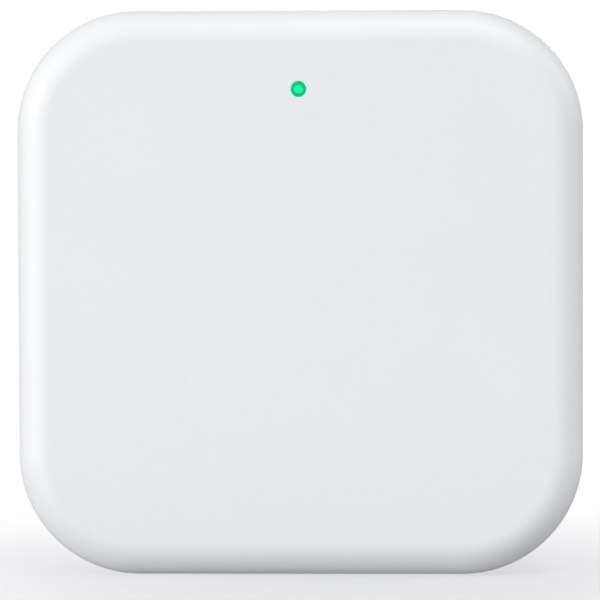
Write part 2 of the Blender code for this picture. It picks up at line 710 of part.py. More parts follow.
def reset_switch():
    """A tactile switch on the underside of the board: base, contacts, snap dome, plate and plunger."""
    strip_t = 0.25 * MM
    base_top_z = UNDER_BOARD_Z - strip_t - 0.05 * MM
    base = slab(SWITCH_W, SWITCH_W, base_top_z - SWITCH_BASE_Z, 0.3 * MM, 1)
    base = piece("switch_base", base, (0, RESET_Y, SWITCH_BASE_Z), BLACK_EPOXY)
    well_floor_z = base_top_z - 0.35 * MM
    well = round_bar(SWITCH_WELL_R, well_floor_z - SWITCH_BASE_Z + PAST)
    boolean(base, "DIFFERENCE", [tool("switch_well", well, (0, RESET_Y, SWITCH_BASE_Z - PAST))])

    for i, side in enumerate((-1, 1), 1):
        strip = slab(7.2 * MM, 0.7 * MM, strip_t, 0)
        strip_y = RESET_Y + side * 1.8 * MM
        piece(f"switch_contact_{i}", strip, (0, strip_y, UNDER_BOARD_Z - strip_t), TINNED_STEEL)

    plate_low_z = SWITCH_BASE_Z - SWITCH_PLATE_T - 0.05 * MM
    plate = slab(SWITCH_W, SWITCH_W, SWITCH_PLATE_T, 0.3 * MM, 1)
    plate = piece("switch_plate", plate, (0, RESET_Y, plate_low_z), TINNED_STEEL)
    eye = round_bar(PLUNGER_R + 0.15 * MM, SWITCH_PLATE_T + 2 * PAST)
    boolean(plate, "DIFFERENCE", [tool("plate_eye", eye, (0, RESET_Y, plate_low_z - PAST))])

    plunger_flange_z = SWITCH_BASE_Z + 0.05 * MM
    plunger = [
        (0, PLUNGER_TOP_Z),
        (PLUNGER_FLANGE_R, PLUNGER_TOP_Z),
        (PLUNGER_FLANGE_R, plunger_flange_z),
        (PLUNGER_R, plunger_flange_z),
        (PLUNGER_R, PLUNGER_TIP_Z + 0.15 * MM),
        (PLUNGER_R - 0.15 * MM, PLUNGER_TIP_Z),
        (0, PLUNGER_TIP_Z),
    ]
    revolve(piece("switch_plunger", turned_profile(plunger), (0, RESET_Y, 0), BLACK_EPOXY))

    rim_z = well_floor_z - 0.05 * MM
    waist_r = 0.6 * DOME_R
    waist_z = DOME_TOP_Z + 0.05 * MM
    inside = [(0, DOME_TOP_Z + DOME_T), (waist_r, waist_z + DOME_T), (DOME_R - DOME_T, rim_z)]
    outside = [(DOME_R, rim_z), (waist_r, waist_z), (0, DOME_TOP_Z)]
    revolve(piece("switch_dome", turned_profile(inside + outside), (0, RESET_Y, 0), BRONZE_SPRING))


# ---------------------------------------------------------------- assembly

port = port_opening()
front_cover(port)
rear_cover(port)
rubber_feet()
blank_label()
case_screws()
board_screws()
light_pipe()
light_baffle()
status_led()
main_board()
usb_receptacle()
board_parts()
reset_button()
reset_switch()
shade([obj for obj in HUB.objects if obj.type == "MESH"])
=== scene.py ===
import math

import bmesh
import bpy
from mathutils import Matrix, Vector


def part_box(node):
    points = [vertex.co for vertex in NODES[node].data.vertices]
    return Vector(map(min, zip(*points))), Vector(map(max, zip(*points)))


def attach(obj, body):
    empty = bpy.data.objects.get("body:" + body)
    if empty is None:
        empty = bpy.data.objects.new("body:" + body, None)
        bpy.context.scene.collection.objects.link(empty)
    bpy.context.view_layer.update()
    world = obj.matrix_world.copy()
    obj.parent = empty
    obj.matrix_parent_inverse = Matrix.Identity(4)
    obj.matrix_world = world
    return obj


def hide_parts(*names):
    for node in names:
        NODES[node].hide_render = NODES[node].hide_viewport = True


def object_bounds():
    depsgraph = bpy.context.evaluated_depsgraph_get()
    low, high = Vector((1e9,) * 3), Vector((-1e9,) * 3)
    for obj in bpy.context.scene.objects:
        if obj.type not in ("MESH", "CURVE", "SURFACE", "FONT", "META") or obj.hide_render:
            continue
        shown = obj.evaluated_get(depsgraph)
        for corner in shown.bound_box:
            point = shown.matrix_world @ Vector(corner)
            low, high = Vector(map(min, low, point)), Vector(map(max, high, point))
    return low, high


# The smart home hub as it looks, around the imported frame: finer pieces, materials, light and camera.
#
# The frame stands as the photo shows it: +X right, +Z up, the face towards -Y. Pieces are built as
# they would lie on a bench, face up: x right, y up the face, z = 0 at the plane of the rubber feet.
# STAND then sets them up, which takes bench (x, y, z) to world (x, DEPTH / 2 - z, SIDE / 2 + y).

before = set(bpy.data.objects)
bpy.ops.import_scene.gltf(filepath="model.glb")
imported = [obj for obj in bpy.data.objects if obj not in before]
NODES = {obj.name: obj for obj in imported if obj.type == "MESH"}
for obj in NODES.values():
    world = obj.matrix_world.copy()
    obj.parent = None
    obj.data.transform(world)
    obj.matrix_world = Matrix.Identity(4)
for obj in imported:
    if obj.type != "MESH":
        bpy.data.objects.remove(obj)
CAD_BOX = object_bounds()

MM = 0.001

# The case, as the frame has it
SIDE = CAD_BOX[1].z - CAD_BOX[0].z
DEPTH = CAD_BOX[1].y - CAD_BOX[0].y
HALF_SIDE = SIDE / 2
CORNER_R = 15 * MM
FACE_EDGE_R = 4 * MM
REAR_EDGE_R = 3 * MM
WALL = 2 * MM
RIM_R = 0.25 * MM
FRONT_RIM_Z = DEPTH / 2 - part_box("front_cover")[1].y
REAR_FACE_Z = 0.8 * MM
REAR_RIM_Z = FRONT_RIM_Z - 0.3 * MM
CEILING_Z = DEPTH - WALL
FLOOR_Z = REAR_FACE_Z + WALL
LIP_OUT = 2.3 * MM
LIP_IN = 3.5 * MM
LIP_TOP_Z = 9.2 * MM
LIP_STEP_Z = REAR_RIM_Z - 0.3 * MM
SCREW_BOSS_LOW_Z = 5.3 * MM
SCREW_HOLE_R = 1.3 * MM
BOARD_REAR_Z = 8.3 * MM

# The screws and feet are numbered by corner
CORNERS = range(1, 5)

# How far a joined shape sinks in, and a cutter stands clear; a broken edge; when two points are one
OVERLAP = 0.5 * MM
PAST = 1 * MM
EDGE_BREAK = 0.1 * MM
SAME_PLACE = 0.0005 * MM

# Steps of a quarter round at the case's corners, along its edges and in small rounds
CORNER_STEPS = 40
EDGE_STEPS = 20
SMALL_STEPS = 5
FLARE_STEPS = 5
FLARE_END = math.radians(80)
ROUND_SIDES = 64
SHARP_ANGLE = math.radians(32)

# A face that turns by one radian over this length counts as fully worn
WEAR_SIZE = 0.25 * MM

STAND = Matrix.Translation((0, DEPTH / 2, HALF_SIDE)) @ Matrix.Rotation(math.radians(90), 4, "X")
TOWARDS_TOP = Matrix.Rotation(math.radians(-90), 4, "X")
TURNED_OVER = Matrix.Rotation(math.radians(180), 4, "X")


# -------- shape makers


def on_bench(node):
    """The middle of a CAD node's box, in bench coordinates."""
    low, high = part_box(node)
    return STAND.inverted() @ ((low + high) / 2)


def bench_box(node):
    """The low and high corners of a CAD node's box, its middle and its size, in bench coordinates."""
    a, b = (STAND.inverted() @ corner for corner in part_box(node))
    low = Vector(map(min, a, b))
    high = Vector(map(max, a, b))
    return low, high, (low + high) / 2, high - low


def arc(centre, radius, start, end, steps):
    """(across, up) points along an arc, with its angles in degrees."""
    angles = [math.radians(start + (end - start) * i / steps) for i in range(steps + 1)]
    return [(centre[0] + radius * math.cos(a), centre[1] + radius * math.sin(a)) for a in angles]


def spokes(sides):
    angles = [2 * math.pi * i / sides for i in range(sides)]
    return [(math.cos(a), math.sin(a)) for a in angles]


def outline(width, height, radius, z, steps=CORNER_STEPS):
    """Points round a rounded rectangle at height z."""
    points = []
    for quarter, (sx, sy) in enumerate(((1, 1), (-1, 1), (-1, -1), (1, -1))):
        centre = (sx * (width / 2 - radius), sy * (height / 2 - radius))
        start = 90 * quarter
        points += [(x, y, z) for x, y in arc(centre, radius, start, start + 90, steps)]
    return points


def cleaned(bm):
    bmesh.ops.remove_doubles(bm, verts=bm.verts, dist=SAME_PLACE)
    bmesh.ops.recalc_face_normals(bm, faces=bm.faces)
    return bm


def loft(rings, tube=False):
    """A closed skin over rings of equally many points: capped, or joined end to end as a tube."""
    bm = bmesh.new()
    rows = [[bm.verts.new(point) for point in ring] for ring in rings]
    count = len(rows[0])
    pairs = list(zip(rows, rows[1:]))
    if tube:
        pairs.append((rows[-1], rows[0]))
    else:
        bm.faces.new(rows[0][::-1])
        bm.faces.new(rows[-1])
    for a, b in pairs:
        for i in range(count):
            j = (i + 1) % count
            bm.faces.new((a[i], a[j], b[j], b[i]))
    return cleaned(bm)


def lathe(points, at=(0, 0), sides=ROUND_SIDES):
    """A closed shape turned about an upright axis, from (radius, height) points."""
    bm = bmesh.new()
    rows = []
    for radius, z in points:
        spots = spokes(sides) if radius >= SAME_PLACE else [(0, 0)]
        rows.append([bm.verts.new((at[0] + radius * x, at[1] + radius * y, z)) for x, y in spots])
    for a, b in zip(rows, rows[1:]):
        for i in range(sides):
            j = (i + 1) % sides
            corners = [a[i % len(a)], a[j % len(a)], b[j % len(b)], b[i % len(b)]]
            bm.faces.new(list(dict.fromkeys(corners)))
    return cleaned(bm)


def post(at, radius, low_z, high_z, sides=ROUND_SIDES):
    return lathe([(0, high_z), (radius, high_z), (radius, low_z), (0, low_z)], at, sides)


def collar(radius, high_z, low_z):
    """(radius, height) points down a turned collar with broken edges."""
    inner = radius - EDGE_BREAK
    return [(inner, high_z), (radius, high_z - EDGE_BREAK), (radius, low_z + EDGE_BREAK), (inner, low_z)]


def slab(width, height, radius, profile, steps, least_r=0.0, at=(0, 0), tube=False):
    """A rounded rectangle lofted up a profile of (inset, z) points."""
    rings = []
    for inset, z in profile:
        inner_r = max(least_r, radius - inset)
        rings.append(outline(width - 2 * inset, height - 2 * inset, inner_r, z, steps))
    return moved(loft(rings, tube), Matrix.Translation((at[0], at[1], 0)))


def slab_profile(low_z, high_z, foot_r, rim_r, foot_steps, rim_steps):
    """(inset, z) points up the side of a slab with a rounded foot and rim."""
    foot = arc((foot_r, low_z + foot_r), foot_r, 270, 180, foot_steps)
    return foot + arc((rim_r, high_z - rim_r), rim_r, 180, 90, rim_steps)


def block(centre, size):
    """A plain box, only for joining to a piece or cutting from one."""
    bm = bmesh.new()
    bmesh.ops.create_cube(bm, size=1, matrix=Matrix.Translation(centre) @ Matrix.Diagonal((*size, 1)))
    return bm


def flared_cutter(width, height, radius, depth, flare, steps=12):
    """Cuts a hole with a rounded mouth into a face at z = 0, whose outside is up."""
    rings = [outline(width, height, radius, -depth, steps)]
    for i in range(FLARE_STEPS + 1):
        angle = FLARE_END * i / FLARE_STEPS
        out = flare * (1 - math.cos(angle))
        z = -flare * (1 - math.sin(angle))
        rings.append(outline(width + 2 * out, height + 2 * out, radius + out, z, steps))
    rings.append([(x, y, PAST) for x, y, _ in rings[-1]])
    return loft(rings)


def moved(bm, matrix):
    bm.transform(matrix)
    return bm


def merged(parts):
    """One bmesh of several that don't touch."""
    whole = bmesh.new()
    mesh = bpy.data.meshes.new("merging")
    for bm in parts:
        bm.to_mesh(mesh)
        bm.free()
        whole.from_mesh(mesh)
    bpy.data.meshes.remove(mesh)
    return whole


def linked(name, data):
    made = bpy.data.objects.new(name, data)
    bpy.context.scene.collection.objects.link(made)
    return made


def scene_object(name, bm):
    mesh = bpy.data.meshes.new(name)
    bm.to_mesh(mesh)
    bm.free()
    return linked(name, mesh)


def after_booleans(bm, steps):
    """bm after its Booleans, each a pair of operation and operand."""
    if not steps:
        return bm
    made = [scene_object("target", bm)]
    for operation, operand in steps:
        made.append(scene_object("operand", operand))
        modifier = made[0].modifiers.new(operation.lower(), "BOOLEAN")
        modifier.operation = operation
        modifier.solver = "EXACT"
        modifier.object = made[-1]
    result = bmesh.new()
    result.from_object(made[0], bpy.context.evaluated_depsgraph_get())
    for obj in made:
        mesh = obj.data
        bpy.data.objects.remove(obj)
        bpy.data.meshes.remove(mesh)
    return result


def add_wear(bm):
    """Marks each face by how sharply it turns outwards, from 0 to 1, for the edge wear in the looks."""
    layer = bm.faces.layers.float.new("wear")
    for face in bm.faces:
        centre = face.calc_center_median()
        turn = 0.0
        for edge in face.edges:
            for other in edge.link_faces:
                if other is face:
                    continue
                apart = (other.calc_center_median() - centre).length
                if apart > 0.001 * MM:
                    turn = max(turn, edge.calc_face_angle_signed(0.0) / apart)
        face[layer] = min(1.0, turn * WEAR_SIZE)


def piece(name, bm, material, replaces=(), body="housing", steps=()):
    bm = after_booleans(bm, steps)
    bmesh.ops.remove_doubles(bm, verts=bm.verts, dist=SAME_PLACE)
    bmesh.ops.dissolve_degenerate(bm, edges=bm.edges, dist=SAME_PLACE)
    bmesh.ops.transform(bm, matrix=STAND, verts=bm.verts)
    add_wear(bm)
    for face in bm.faces:
        face.smooth = True
        face.material_index = 0
    made = scene_object(name, bm)
    made.data.set_sharp_from_angle(angle=SHARP_ANGLE)
    made.data.materials.append(material)
    weighted = made.modifiers.new("weighted_normals", "WEIGHTED_NORMAL")
    weighted.keep_sharp = True
    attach(made, body)
    if replaces:
        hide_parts(*replaces)


# -------- looks


def rgba(colour):
    return colour if isinstance(colour, bpy.types.NodeSocket) else (*colour, 1)


class Look:
    """A procedural node material while it is being built. Lengths in it are metres in the frame."""

    def __init__(self, name, colour, roughness, metallic=0.0):
        self.material = bpy.data.materials.new(name)
        self.material.use_nodes = True
        self.tree = self.material.node_tree
        self.shader = self.tree.nodes["Principled BSDF"]
        self.shader.inputs["Base Color"].default_value = (*colour, 1)
        self.shader.inputs["Roughness"].default_value = roughness
        self.shader.inputs["Metallic"].default_value = metallic
        self.place = self.add("ShaderNodeTexCoord").outputs["Object"]

    def add(self, kind, inputs=None, **settings):
        node = self.tree.nodes.new(kind)
        for key, value in settings.items():
            setattr(node, key, value)
        for key, value in (inputs or {}).items():
            if isinstance(value, bpy.types.NodeSocket):
                self.tree.links.new(value, node.inputs[key])
            else:
                node.inputs[key].default_value = value
        return node

    def into(self, key, socket):
        self.tree.links.new(socket, self.shader.inputs[key])

    def finished(self, colour, roughness, normal):
        self.into("Base Color", colour)
        self.into("Roughness", roughness)
        self.into("Normal", normal)
        return self.material

    def stretched(self, scale):
        """Coordinates squeezed or stretched along an axis, for brushed and drawn metal."""
        return self.add("ShaderNodeMapping", {"Vector": self.place, "Scale": scale}).outputs[0]

    def noise(self, size, detail=2.0, rough=0.5, place=None):
        """Noise whose patches are about size across."""
        wanted = {"Vector": place or self.place, "Scale": 1 / size, "Detail": detail, "Roughness": rough}
        return self.add("ShaderNodeTexNoise", wanted).outputs["Fac"]

    def cells(self, size):
        """The distance to the middle of the nearest of many cells, each about size across."""
        wanted = {"Vector": self.place, "Scale": 1 / size}
        return self.add("ShaderNodeTexVoronoi", wanted).outputs["Distance"]

    def spread(self, value, low, high, start=0.0, end=1.0, smooth=False):
        """Takes value from start..end to low..high, and holds it there."""
        wanted = {0: value, 1: start, 2: end, 3: low, 4: high}
        kind = "SMOOTHSTEP" if smooth else "LINEAR"
        return self.add("ShaderNodeMapRange", wanted, interpolation_type=kind).outputs[0]

    def math(self, operation, a, b=0.0):
        return self.add("ShaderNodeMath", {0: a, 1: b}, operation=operation).outputs[0]

    def vector(self, operation, a, b=(0, 0, 0)):
        return self.add("ShaderNodeVectorMath", {0: a, 1: b}, operation=operation).outputs

    def mixed(self, share, a, b):
        """Colour a, going to colour b as share goes from 0 to 1."""
        wanted = {0: share, 6: rgba(a), 7: rgba(b)}
        return self.add("ShaderNodeMix", wanted, data_type="RGBA").outputs[2]

    def ramp(self, value, stops):
        node = self.add("ShaderNodeValToRGB", {0: value})
        points = node.color_ramp.elements
        while len(points) < len(stops):
            points.new(1.0)
        for point, (position, colour) in zip(points, stops):
            point.position = position
            point.color = (*colour, 1)
        return node.outputs[0]

    def bump(self, height, depth, strength=1.0, normal=None):
        wanted = {"Height": height, "Distance": depth, "Strength": strength}
        if normal:
            wanted["Normal"] = normal
        return self.add("ShaderNodeBump", wanted).outputs["Normal"]

    def wear(self):
        return self.add("ShaderNodeAttribute", attribute_name="wear").outputs["Fac"]

    def off_axis(self, centre):
        """The distance from the line through a point of the face, at a right angle to the face."""
        aside = self.vector("SUBTRACT", self.place, centre)[0]
        flat = self.vector("MULTIPLY", aside, (1, 0, 1))[0]
        return self.vector("LENGTH", flat)["Value"]


def tinted(colour, factor):
    return tuple(min(1.0, channel * factor) for channel in colour)


def moulded_plastic(name, colour, roughness, grain=0.32 * MM):
    """ABS with a fine spark-eroded grain, faint mottling and edges rubbed smoother."""
    look = Look(name, colour, roughness)
    wear = look.wear()
    mottles = look.spread(look.noise(14 * MM, 3), 0, 1, 0.3, 0.7)
    mottled = look.mixed(mottles, tinted(colour, 0.992), tinted(colour, 1.006))
    specks = look.spread(look.noise(0.9 * MM, 2), 0, 0.35, 0.35, 0.8)
    speckled = look.mixed(specks, mottled, tinted(colour, 0.985))
    rubbed = look.mixed(look.math("MULTIPLY", wear, 0.5), speckled, tinted(colour, 1.03))
    satin = look.spread(look.noise(2.5 * MM, 3, 0.6), roughness - 0.05, roughness + 0.06, 0.3, 0.7)
    smoother = look.math("SUBTRACT", satin, look.math("MULTIPLY", wear, 0.12))
    waves = look.bump(look.noise(9 * MM, 1), 0.02 * MM, 0.5)
    spark = look.bump(look.noise(grain, 3, 0.62), 0.017 * MM, 1.0, waves)
    look.finished(rubbed, smoother, spark)
    return look, rubbed


LIGHT_AT = STAND @ Vector((0, 25.2 * MM, 26 * MM))
WHITE = (0.800, 0.808, 0.824)


def front_plastic():
    """The case plastic, with a painted mint glow in the lip of the light guide's hole: the guide's green
    light on the lip is painted into its colour and emission.
    """
    look, plain = moulded_plastic("spark_white_front", WHITE, 0.46)
    off = look.off_axis(LIGHT_AT)
    # Painted light: within the lip round the hole the plastic is tinted mint and glows, as if lit by the
    # green light guide.
    glow = look.spread(off, 1, 0, 1.02 * MM, 1.15 * MM, smooth=True)
    look.into("Base Color", look.mixed(glow, plain, (0.56, 0.80, 0.77)))
    look.into("Emission Color", look.mixed(glow, (0, 0, 0), (0.03, 0.34, 0.24)))
    look.shader.inputs["Emission Strength"].default_value = 1.0
    return look.material


def light_pipe_look():
    """Green polycarbonate with its light painted on as emission: a painted glow with a bright middle, a
    deeper ring and a mint rim.
    """
    look = Look("lit_light_pipe", (0.02, 0.55, 0.28), 0.22)
    off = look.off_axis(LIGHT_AT)
    # The painted glow across the tip, from its middle out to its rim.
    stops = [
        (0.00, (0.020, 1.00, 0.76)),
        (0.30, (0.004, 0.99, 0.50)),
        (0.50, (0.006, 0.97, 0.35)),
        (0.62, (0.002, 0.62, 0.19)),
        (0.80, (0.002, 0.50, 0.16)),
        (0.93, (0.010, 0.40, 0.17)),
        (1.00, (0.30, 0.85, 0.62)),
    ]
    wobble = look.spread(look.noise(0.28 * MM, 2), -0.06, 0.06)
    share = look.math("ADD", look.math("DIVIDE", off, 0.95 * MM), wobble)
    into_case = look.add("ShaderNodeSeparateXYZ", {0: look.place}).outputs["Y"]
    # The painted glow grows dimmer further into the case.
    deep = look.spread(into_case, 0, 1, LIGHT_AT.y + 0.4 * MM, LIGHT_AT.y + 2.6 * MM)
    look.into("Emission Color", look.mixed(deep, look.ramp(share, stops), (0.004, 0.16, 0.075)))
    look.shader.inputs["Emission Strength"].default_value = 0.90
    look.shader.inputs["Specular IOR Level"].default_value = 0.10
    tints = look.ramp(look.noise(0.5 * MM), [(0.3, (0.0, 0.03, 0.02)), (0.8, (0.002, 0.06, 0.035))])
    rough = look.spread(look.noise(0.2 * MM), 0.16, 0.3)
    return look.finished(tints, rough, look.bump(look.noise(0.35 * MM, 2), 0.006 * MM))


def rubber_look():
    """Grey silicone rubber with a matt skin, dust and rubbed rims."""
    base = (0.30, 0.305, 0.315)
    look = Look("foot_rubber", base, 0.78)
    dust = look.spread(look.noise(1.6 * MM, 4, 0.6), 0, 0.5, 0.5, 0.75)
    dusty = look.mixed(dust, base, (0.42, 0.42, 0.42))
    rubbed = look.mixed(look.math("MULTIPLY", look.wear(), 0.6), dusty, (0.22, 0.22, 0.23))
    pores = look.bump(look.cells(0.22 * MM), 0.02 * MM, 0.6)
    skin = look.bump(look.noise(1.2 * MM, 2), 0.03 * MM, 0.6, pores)
    return look.finished(rubbed, look.spread(look.noise(0.8 * MM), 0.68, 0.9), skin)


def label_look(middle, width, height):
    """A blank satin film with a thin printed border line and a faint fibre."""
    base = (0.70, 0.705, 0.72)
    look = Look("label_film_look", base, 0.36)
    parts = look.add("ShaderNodeSeparateXYZ", {0: look.place}).outputs
    across = look.math("SUBTRACT", look.math("ABSOLUTE", parts["X"]), width / 2 - 1.6 * MM)
    up = look.math("ABSOLUTE", look.math("SUBTRACT", parts["Z"], middle.z))
    edge = look.math("MAXIMUM", across, look.math("SUBTRACT", up, height / 2 - 1.6 * MM))
    line = look.math("LESS_THAN", look.math("ABSOLUTE", edge), 0.09 * MM)
    fibre = look.noise(0.4 * MM, 3, 0.6, look.stretched((1, 1, 0.15)))
    paper = look.mixed(look.spread(fibre, 0, 1, 0.3, 0.7), tinted(base, 0.97), tinted(base, 1.02))
    printed = look.mixed(line, paper, (0.28, 0.29, 0.31))
    waves = look.bump(look.noise(6 * MM, 2), 0.05 * MM, 0.5)
    return look.finished(printed, look.spread(look.noise(3 * MM, 3), 0.3, 0.44), waves)


def brushed_metal(name, colour, roughness, along=(1, 1, 0.08), tarnish=(0.5, 0.46, 0.4)):
    """Drawn or rolled metal: fine lines, cloudy tarnish and bright rubbed edges."""
    look = Look(name, colour, roughness, 1.0)
    lines = look.noise(0.12 * MM, 3, 0.6, look.stretched(along))
    clouds = look.noise(1.5 * MM, 4, 0.6)
    dull = look.mixed(look.spread(clouds, 0, 0.3, 0.45, 0.8), colour, tarnish)
    rubbed = look.mixed(look.wear(), dull, tinted(colour, 1.2))
    drawn = look.mixed(look.spread(lines, 0, 0.2), rubbed, tinted(colour, 0.7))
    rough = look.spread(lines, roughness - 0.1, roughness + 0.14, 0.3, 0.7)
    waves = look.bump(look.noise(2 * MM), 0.01 * MM, 0.5)
    return look.finished(drawn, rough, look.bump(lines, 0.004 * MM, 0.7, waves))


def zinc_look():
    """Passivated zinc on steel: bluish clouds, a straw tint and bright edges."""
    look = Look("zinc_plate", (0.58, 0.6, 0.64), 0.34, 1.0)
    clouds = look.noise(0.9 * MM, 4, 0.6)
    stops = [(0.3, (0.50, 0.54, 0.62)), (0.5, (0.62, 0.63, 0.66)), (0.75, (0.68, 0.64, 0.55))]
    rubbed = look.mixed(look.wear(), look.ramp(clouds, stops), (0.8, 0.8, 0.8))
    rough = look.spread(look.noise(0.25 * MM, 3), 0.24, 0.46, 0.3, 0.7)
    return look.finished(rubbed, rough, look.bump(look.noise(0.15 * MM, 3), 0.004 * MM))


def foam_look():
    """Closed-cell black foam with open cut cells."""
    look = Look("cell_foam", (0.03, 0.03, 0.032), 0.92)
    pits = look.cells(0.3 * MM)
    # Darker in the middles of the cells, where the bump sinks them: painted shade in the pits.
    blacks = look.ramp(pits, [(0.1, (0.012, 0.012, 0.013)), (0.6, (0.05, 0.05, 0.053))])
    return look.finished(blacks, look.spread(pits, 0.98, 0.8), look.bump(pits, 0.12 * MM, 0.9))


def board_look(name, mask, copper, mask_roughness):
    """Solder mask over copper: straight tracks, tinned vias and a weave."""
    look = Look(name, mask, mask_roughness)
    parts = look.add("ShaderNodeSeparateXYZ", {0: look.place}).outputs
    flat = look.add("ShaderNodeCombineXYZ", {"X": parts["X"], "Y": parts["Z"]}).outputs[0]
    wanted = {"Vector": flat, "Scale": 1 / (9 * MM), "Mortar Size": 0.012, "Mortar Smooth": 0.1}
    wanted |= {"Brick Width": 0.52, "Row Height": 0.09}
    lanes = look.add("ShaderNodeTexBrick", wanted).outputs["Fac"]
    in_area = look.spread(look.noise(7 * MM, 0), 0.15, 1, 0.42, 0.5)
    tracks = look.math("MULTIPLY", lanes, in_area)
    vias = look.spread(look.cells(2.6 * MM), 1, 0, 0.09, 0.12)
    weave = look.noise(0.5 * MM, 2, 0.5, look.stretched((1, 1, 0.4)))
    base = look.mixed(look.spread(weave, 0, 0.5), mask, tinted(mask, 0.75))
    tinned = look.mixed(vias, look.mixed(tracks, base, copper), (0.55, 0.54, 0.5))
    look.into("Metallic", look.math("MULTIPLY", vias, 0.8))
    rough = look.spread(look.noise(4 * MM, 2), mask_roughness - 0.06, mask_roughness + 0.08)
    raised = look.math("ADD", look.math("MULTIPLY", tracks, 0.6), look.math("MULTIPLY", weave, 0.25))
    return look.finished(tinned, rough, look.bump(raised, 0.03 * MM, 0.8))


def epoxy_look():
    """Black moulding compound: matt, finely pitted and a little uneven."""
    look = Look("moulding_compound", (0.028, 0.028, 0.03), 0.55)
    pits = look.noise(0.12 * MM, 3, 0.7)
    # Darker where the bump is lower: painted shade in the pits.
    blacks = look.ramp(pits, [(0.3, (0.018, 0.018, 0.02)), (0.75, (0.045, 0.045, 0.047))])
    rough = look.spread(look.noise(1.2 * MM, 2), 0.46, 0.66)
    return look.finished(blacks, rough, look.bump(pits, 0.02 * MM, 0.8))


def grain_look(name, dark, light, roughness, grain, depth):
    """Pressed and fired powder, such as ferrite or ceramic."""
    look = Look(name, light, roughness)
    grains = look.cells(grain)
    spots = look.noise(grain * 4, 3)
    body = look.mixed(look.spread(spots, 0, 1, 0.3, 0.7), dark, light)
    # Darker in the middles of the grain cells, where the bump sinks them: painted shade in the pits.
    pressed = look.mixed(look.spread(grains, 0.3, 0), body, tinted(dark, 0.7))
    rough = look.spread(spots, roughness - 0.08, roughness + 0.1)
    return look.finished(pressed, rough, look.bump(grains, depth, 0.7))


def led_look():
    """A white package with a lit green window in its middle."""
    look = Look("led_package", (0.8, 0.79, 0.75), 0.4)
    off = look.off_axis(LIGHT_AT)
    window = look.spread(off, 1, 0, 0.62 * MM, 0.66 * MM)
    grain = look.noise(0.1 * MM, 2)
    white = look.mixed(grain, (0.78, 0.77, 0.73), (0.82, 0.81, 0.78))
    look.into("Emission Color", look.mixed(window, (0, 0, 0), (0.05, 1.0, 0.5)))
    look.shader.inputs["Emission Strength"].default_value = 2.0
    package = look.mixed(window, white, (0.15, 0.6, 0.3))
    return look.finished(package, look.spread(grain, 0.3, 0.5), look.bump(grain, 0.006 * MM))


# -------- the two covers


def case_skin(profile):
    return slab(SIDE, SIDE, CORNER_R, profile, CORNER_STEPS)


def port_height():
    """The height of the port's middle on the bench, from the moulded tongue's box."""
    return on_bench("usb_tongue").z


def port_cutter():
    """The opening for the plug, half in each cover, with a rounded mouth."""
    shell = on_bench("usb_shell")
    width = 9.54 * MM
    height = 3.86 * MM
    depth = 5.1 * MM
    mouth_r = 0.35 * MM
    cutter = flared_cutter(width, height, height / 2, depth, mouth_r)
    return moved(cutter, Matrix.Translation((shell.x, HALF_SIDE, port_height())) @ TOWARDS_TOP)


def front_bosses(screws, pipe):
    """The posts that the case screws bite into, and the sleeve of the light pipe."""
    high_z = CEILING_Z + OVERLAP
    screw_boss_r = 3 * MM
    sleeve_r = 2.7 * MM
    sleeve_low_z = 17 * MM
    bosses = [post(s, screw_boss_r, SCREW_BOSS_LOW_Z, high_z) for s in screws]
    bosses.append(post(pipe, sleeve_r, sleeve_low_z, high_z))
    return bosses


def front_ribs(screws):
    """Two ribs from each screw boss out to the sides of the case."""
    ribs = []
    low_z = 12 * MM
    high_z = CEILING_Z + OVERLAP
    out_at = 32.6 * MM
    thick = 1.2 * MM
    height = high_z - low_z
    middle_z = (high_z + low_z) / 2
    for s in screws:
        length = out_at - abs(s.x)
        out_x = s.x + math.copysign(length / 2, s.x)
        out_y = s.y + math.copysign(length / 2, s.y)
        ribs.append(block((out_x, s.y, middle_z), (length, thick, height)))
        ribs.append(block((s.x, out_y, middle_z), (thick, length, height)))
    return ribs


def light_pipe_bore(pipe):
    """A narrow hole with a soft lip in the face, and a wider one behind it."""
    tip_r = 1 * MM
    lip_r = 0.14 * MM
    stem_r = 1.65 * MM
    step_z = 23.9 * MM
    low_z = 16 * MM
    lip = arc((tip_r + lip_r, DEPTH - lip_r), lip_r, 100, 180, SMALL_STEPS)
    bore = [(0, DEPTH + PAST), (lip[0][0], DEPTH + PAST)] + lip
    bore += [(tip_r, step_z), (stem_r, step_z), (stem_r, low_z), (0, low_z)]
    return lathe(bore, pipe)


def front_shell(look):
    outer = arc((FACE_EDGE_R, DEPTH - FACE_EDGE_R), FACE_EDGE_R, 180, 90, EDGE_STEPS)
    inner_r = FACE_EDGE_R - WALL
    inner = arc((FACE_EDGE_R, CEILING_Z - inner_r), inner_r, 90, 180, 8)
    rim = arc((RIM_R, FRONT_RIM_Z + RIM_R), RIM_R, 270, 180, SMALL_STEPS)
    profile = inner + [(WALL, FRONT_RIM_Z)] + rim + outer
    shell = case_skin(profile)

    screws = [on_bench(f"case_screw_{i}") for i in CORNERS]
    pipe = on_bench("light_pipe")
    holes_high_z = 14.5 * MM
    holes = [post(s, SCREW_HOLE_R, SCREW_BOSS_LOW_Z - PAST, holes_high_z) for s in screws]
    holes.append(light_pipe_bore(pipe))
    steps = [
        ("UNION", merged(front_bosses(screws, pipe))),
        ("UNION", merged(front_ribs(screws))),
        ("DIFFERENCE", merged(holes + [port_cutter()])),
    ]
    piece("front_shell", shell, look, ["front_cover"], steps=steps)


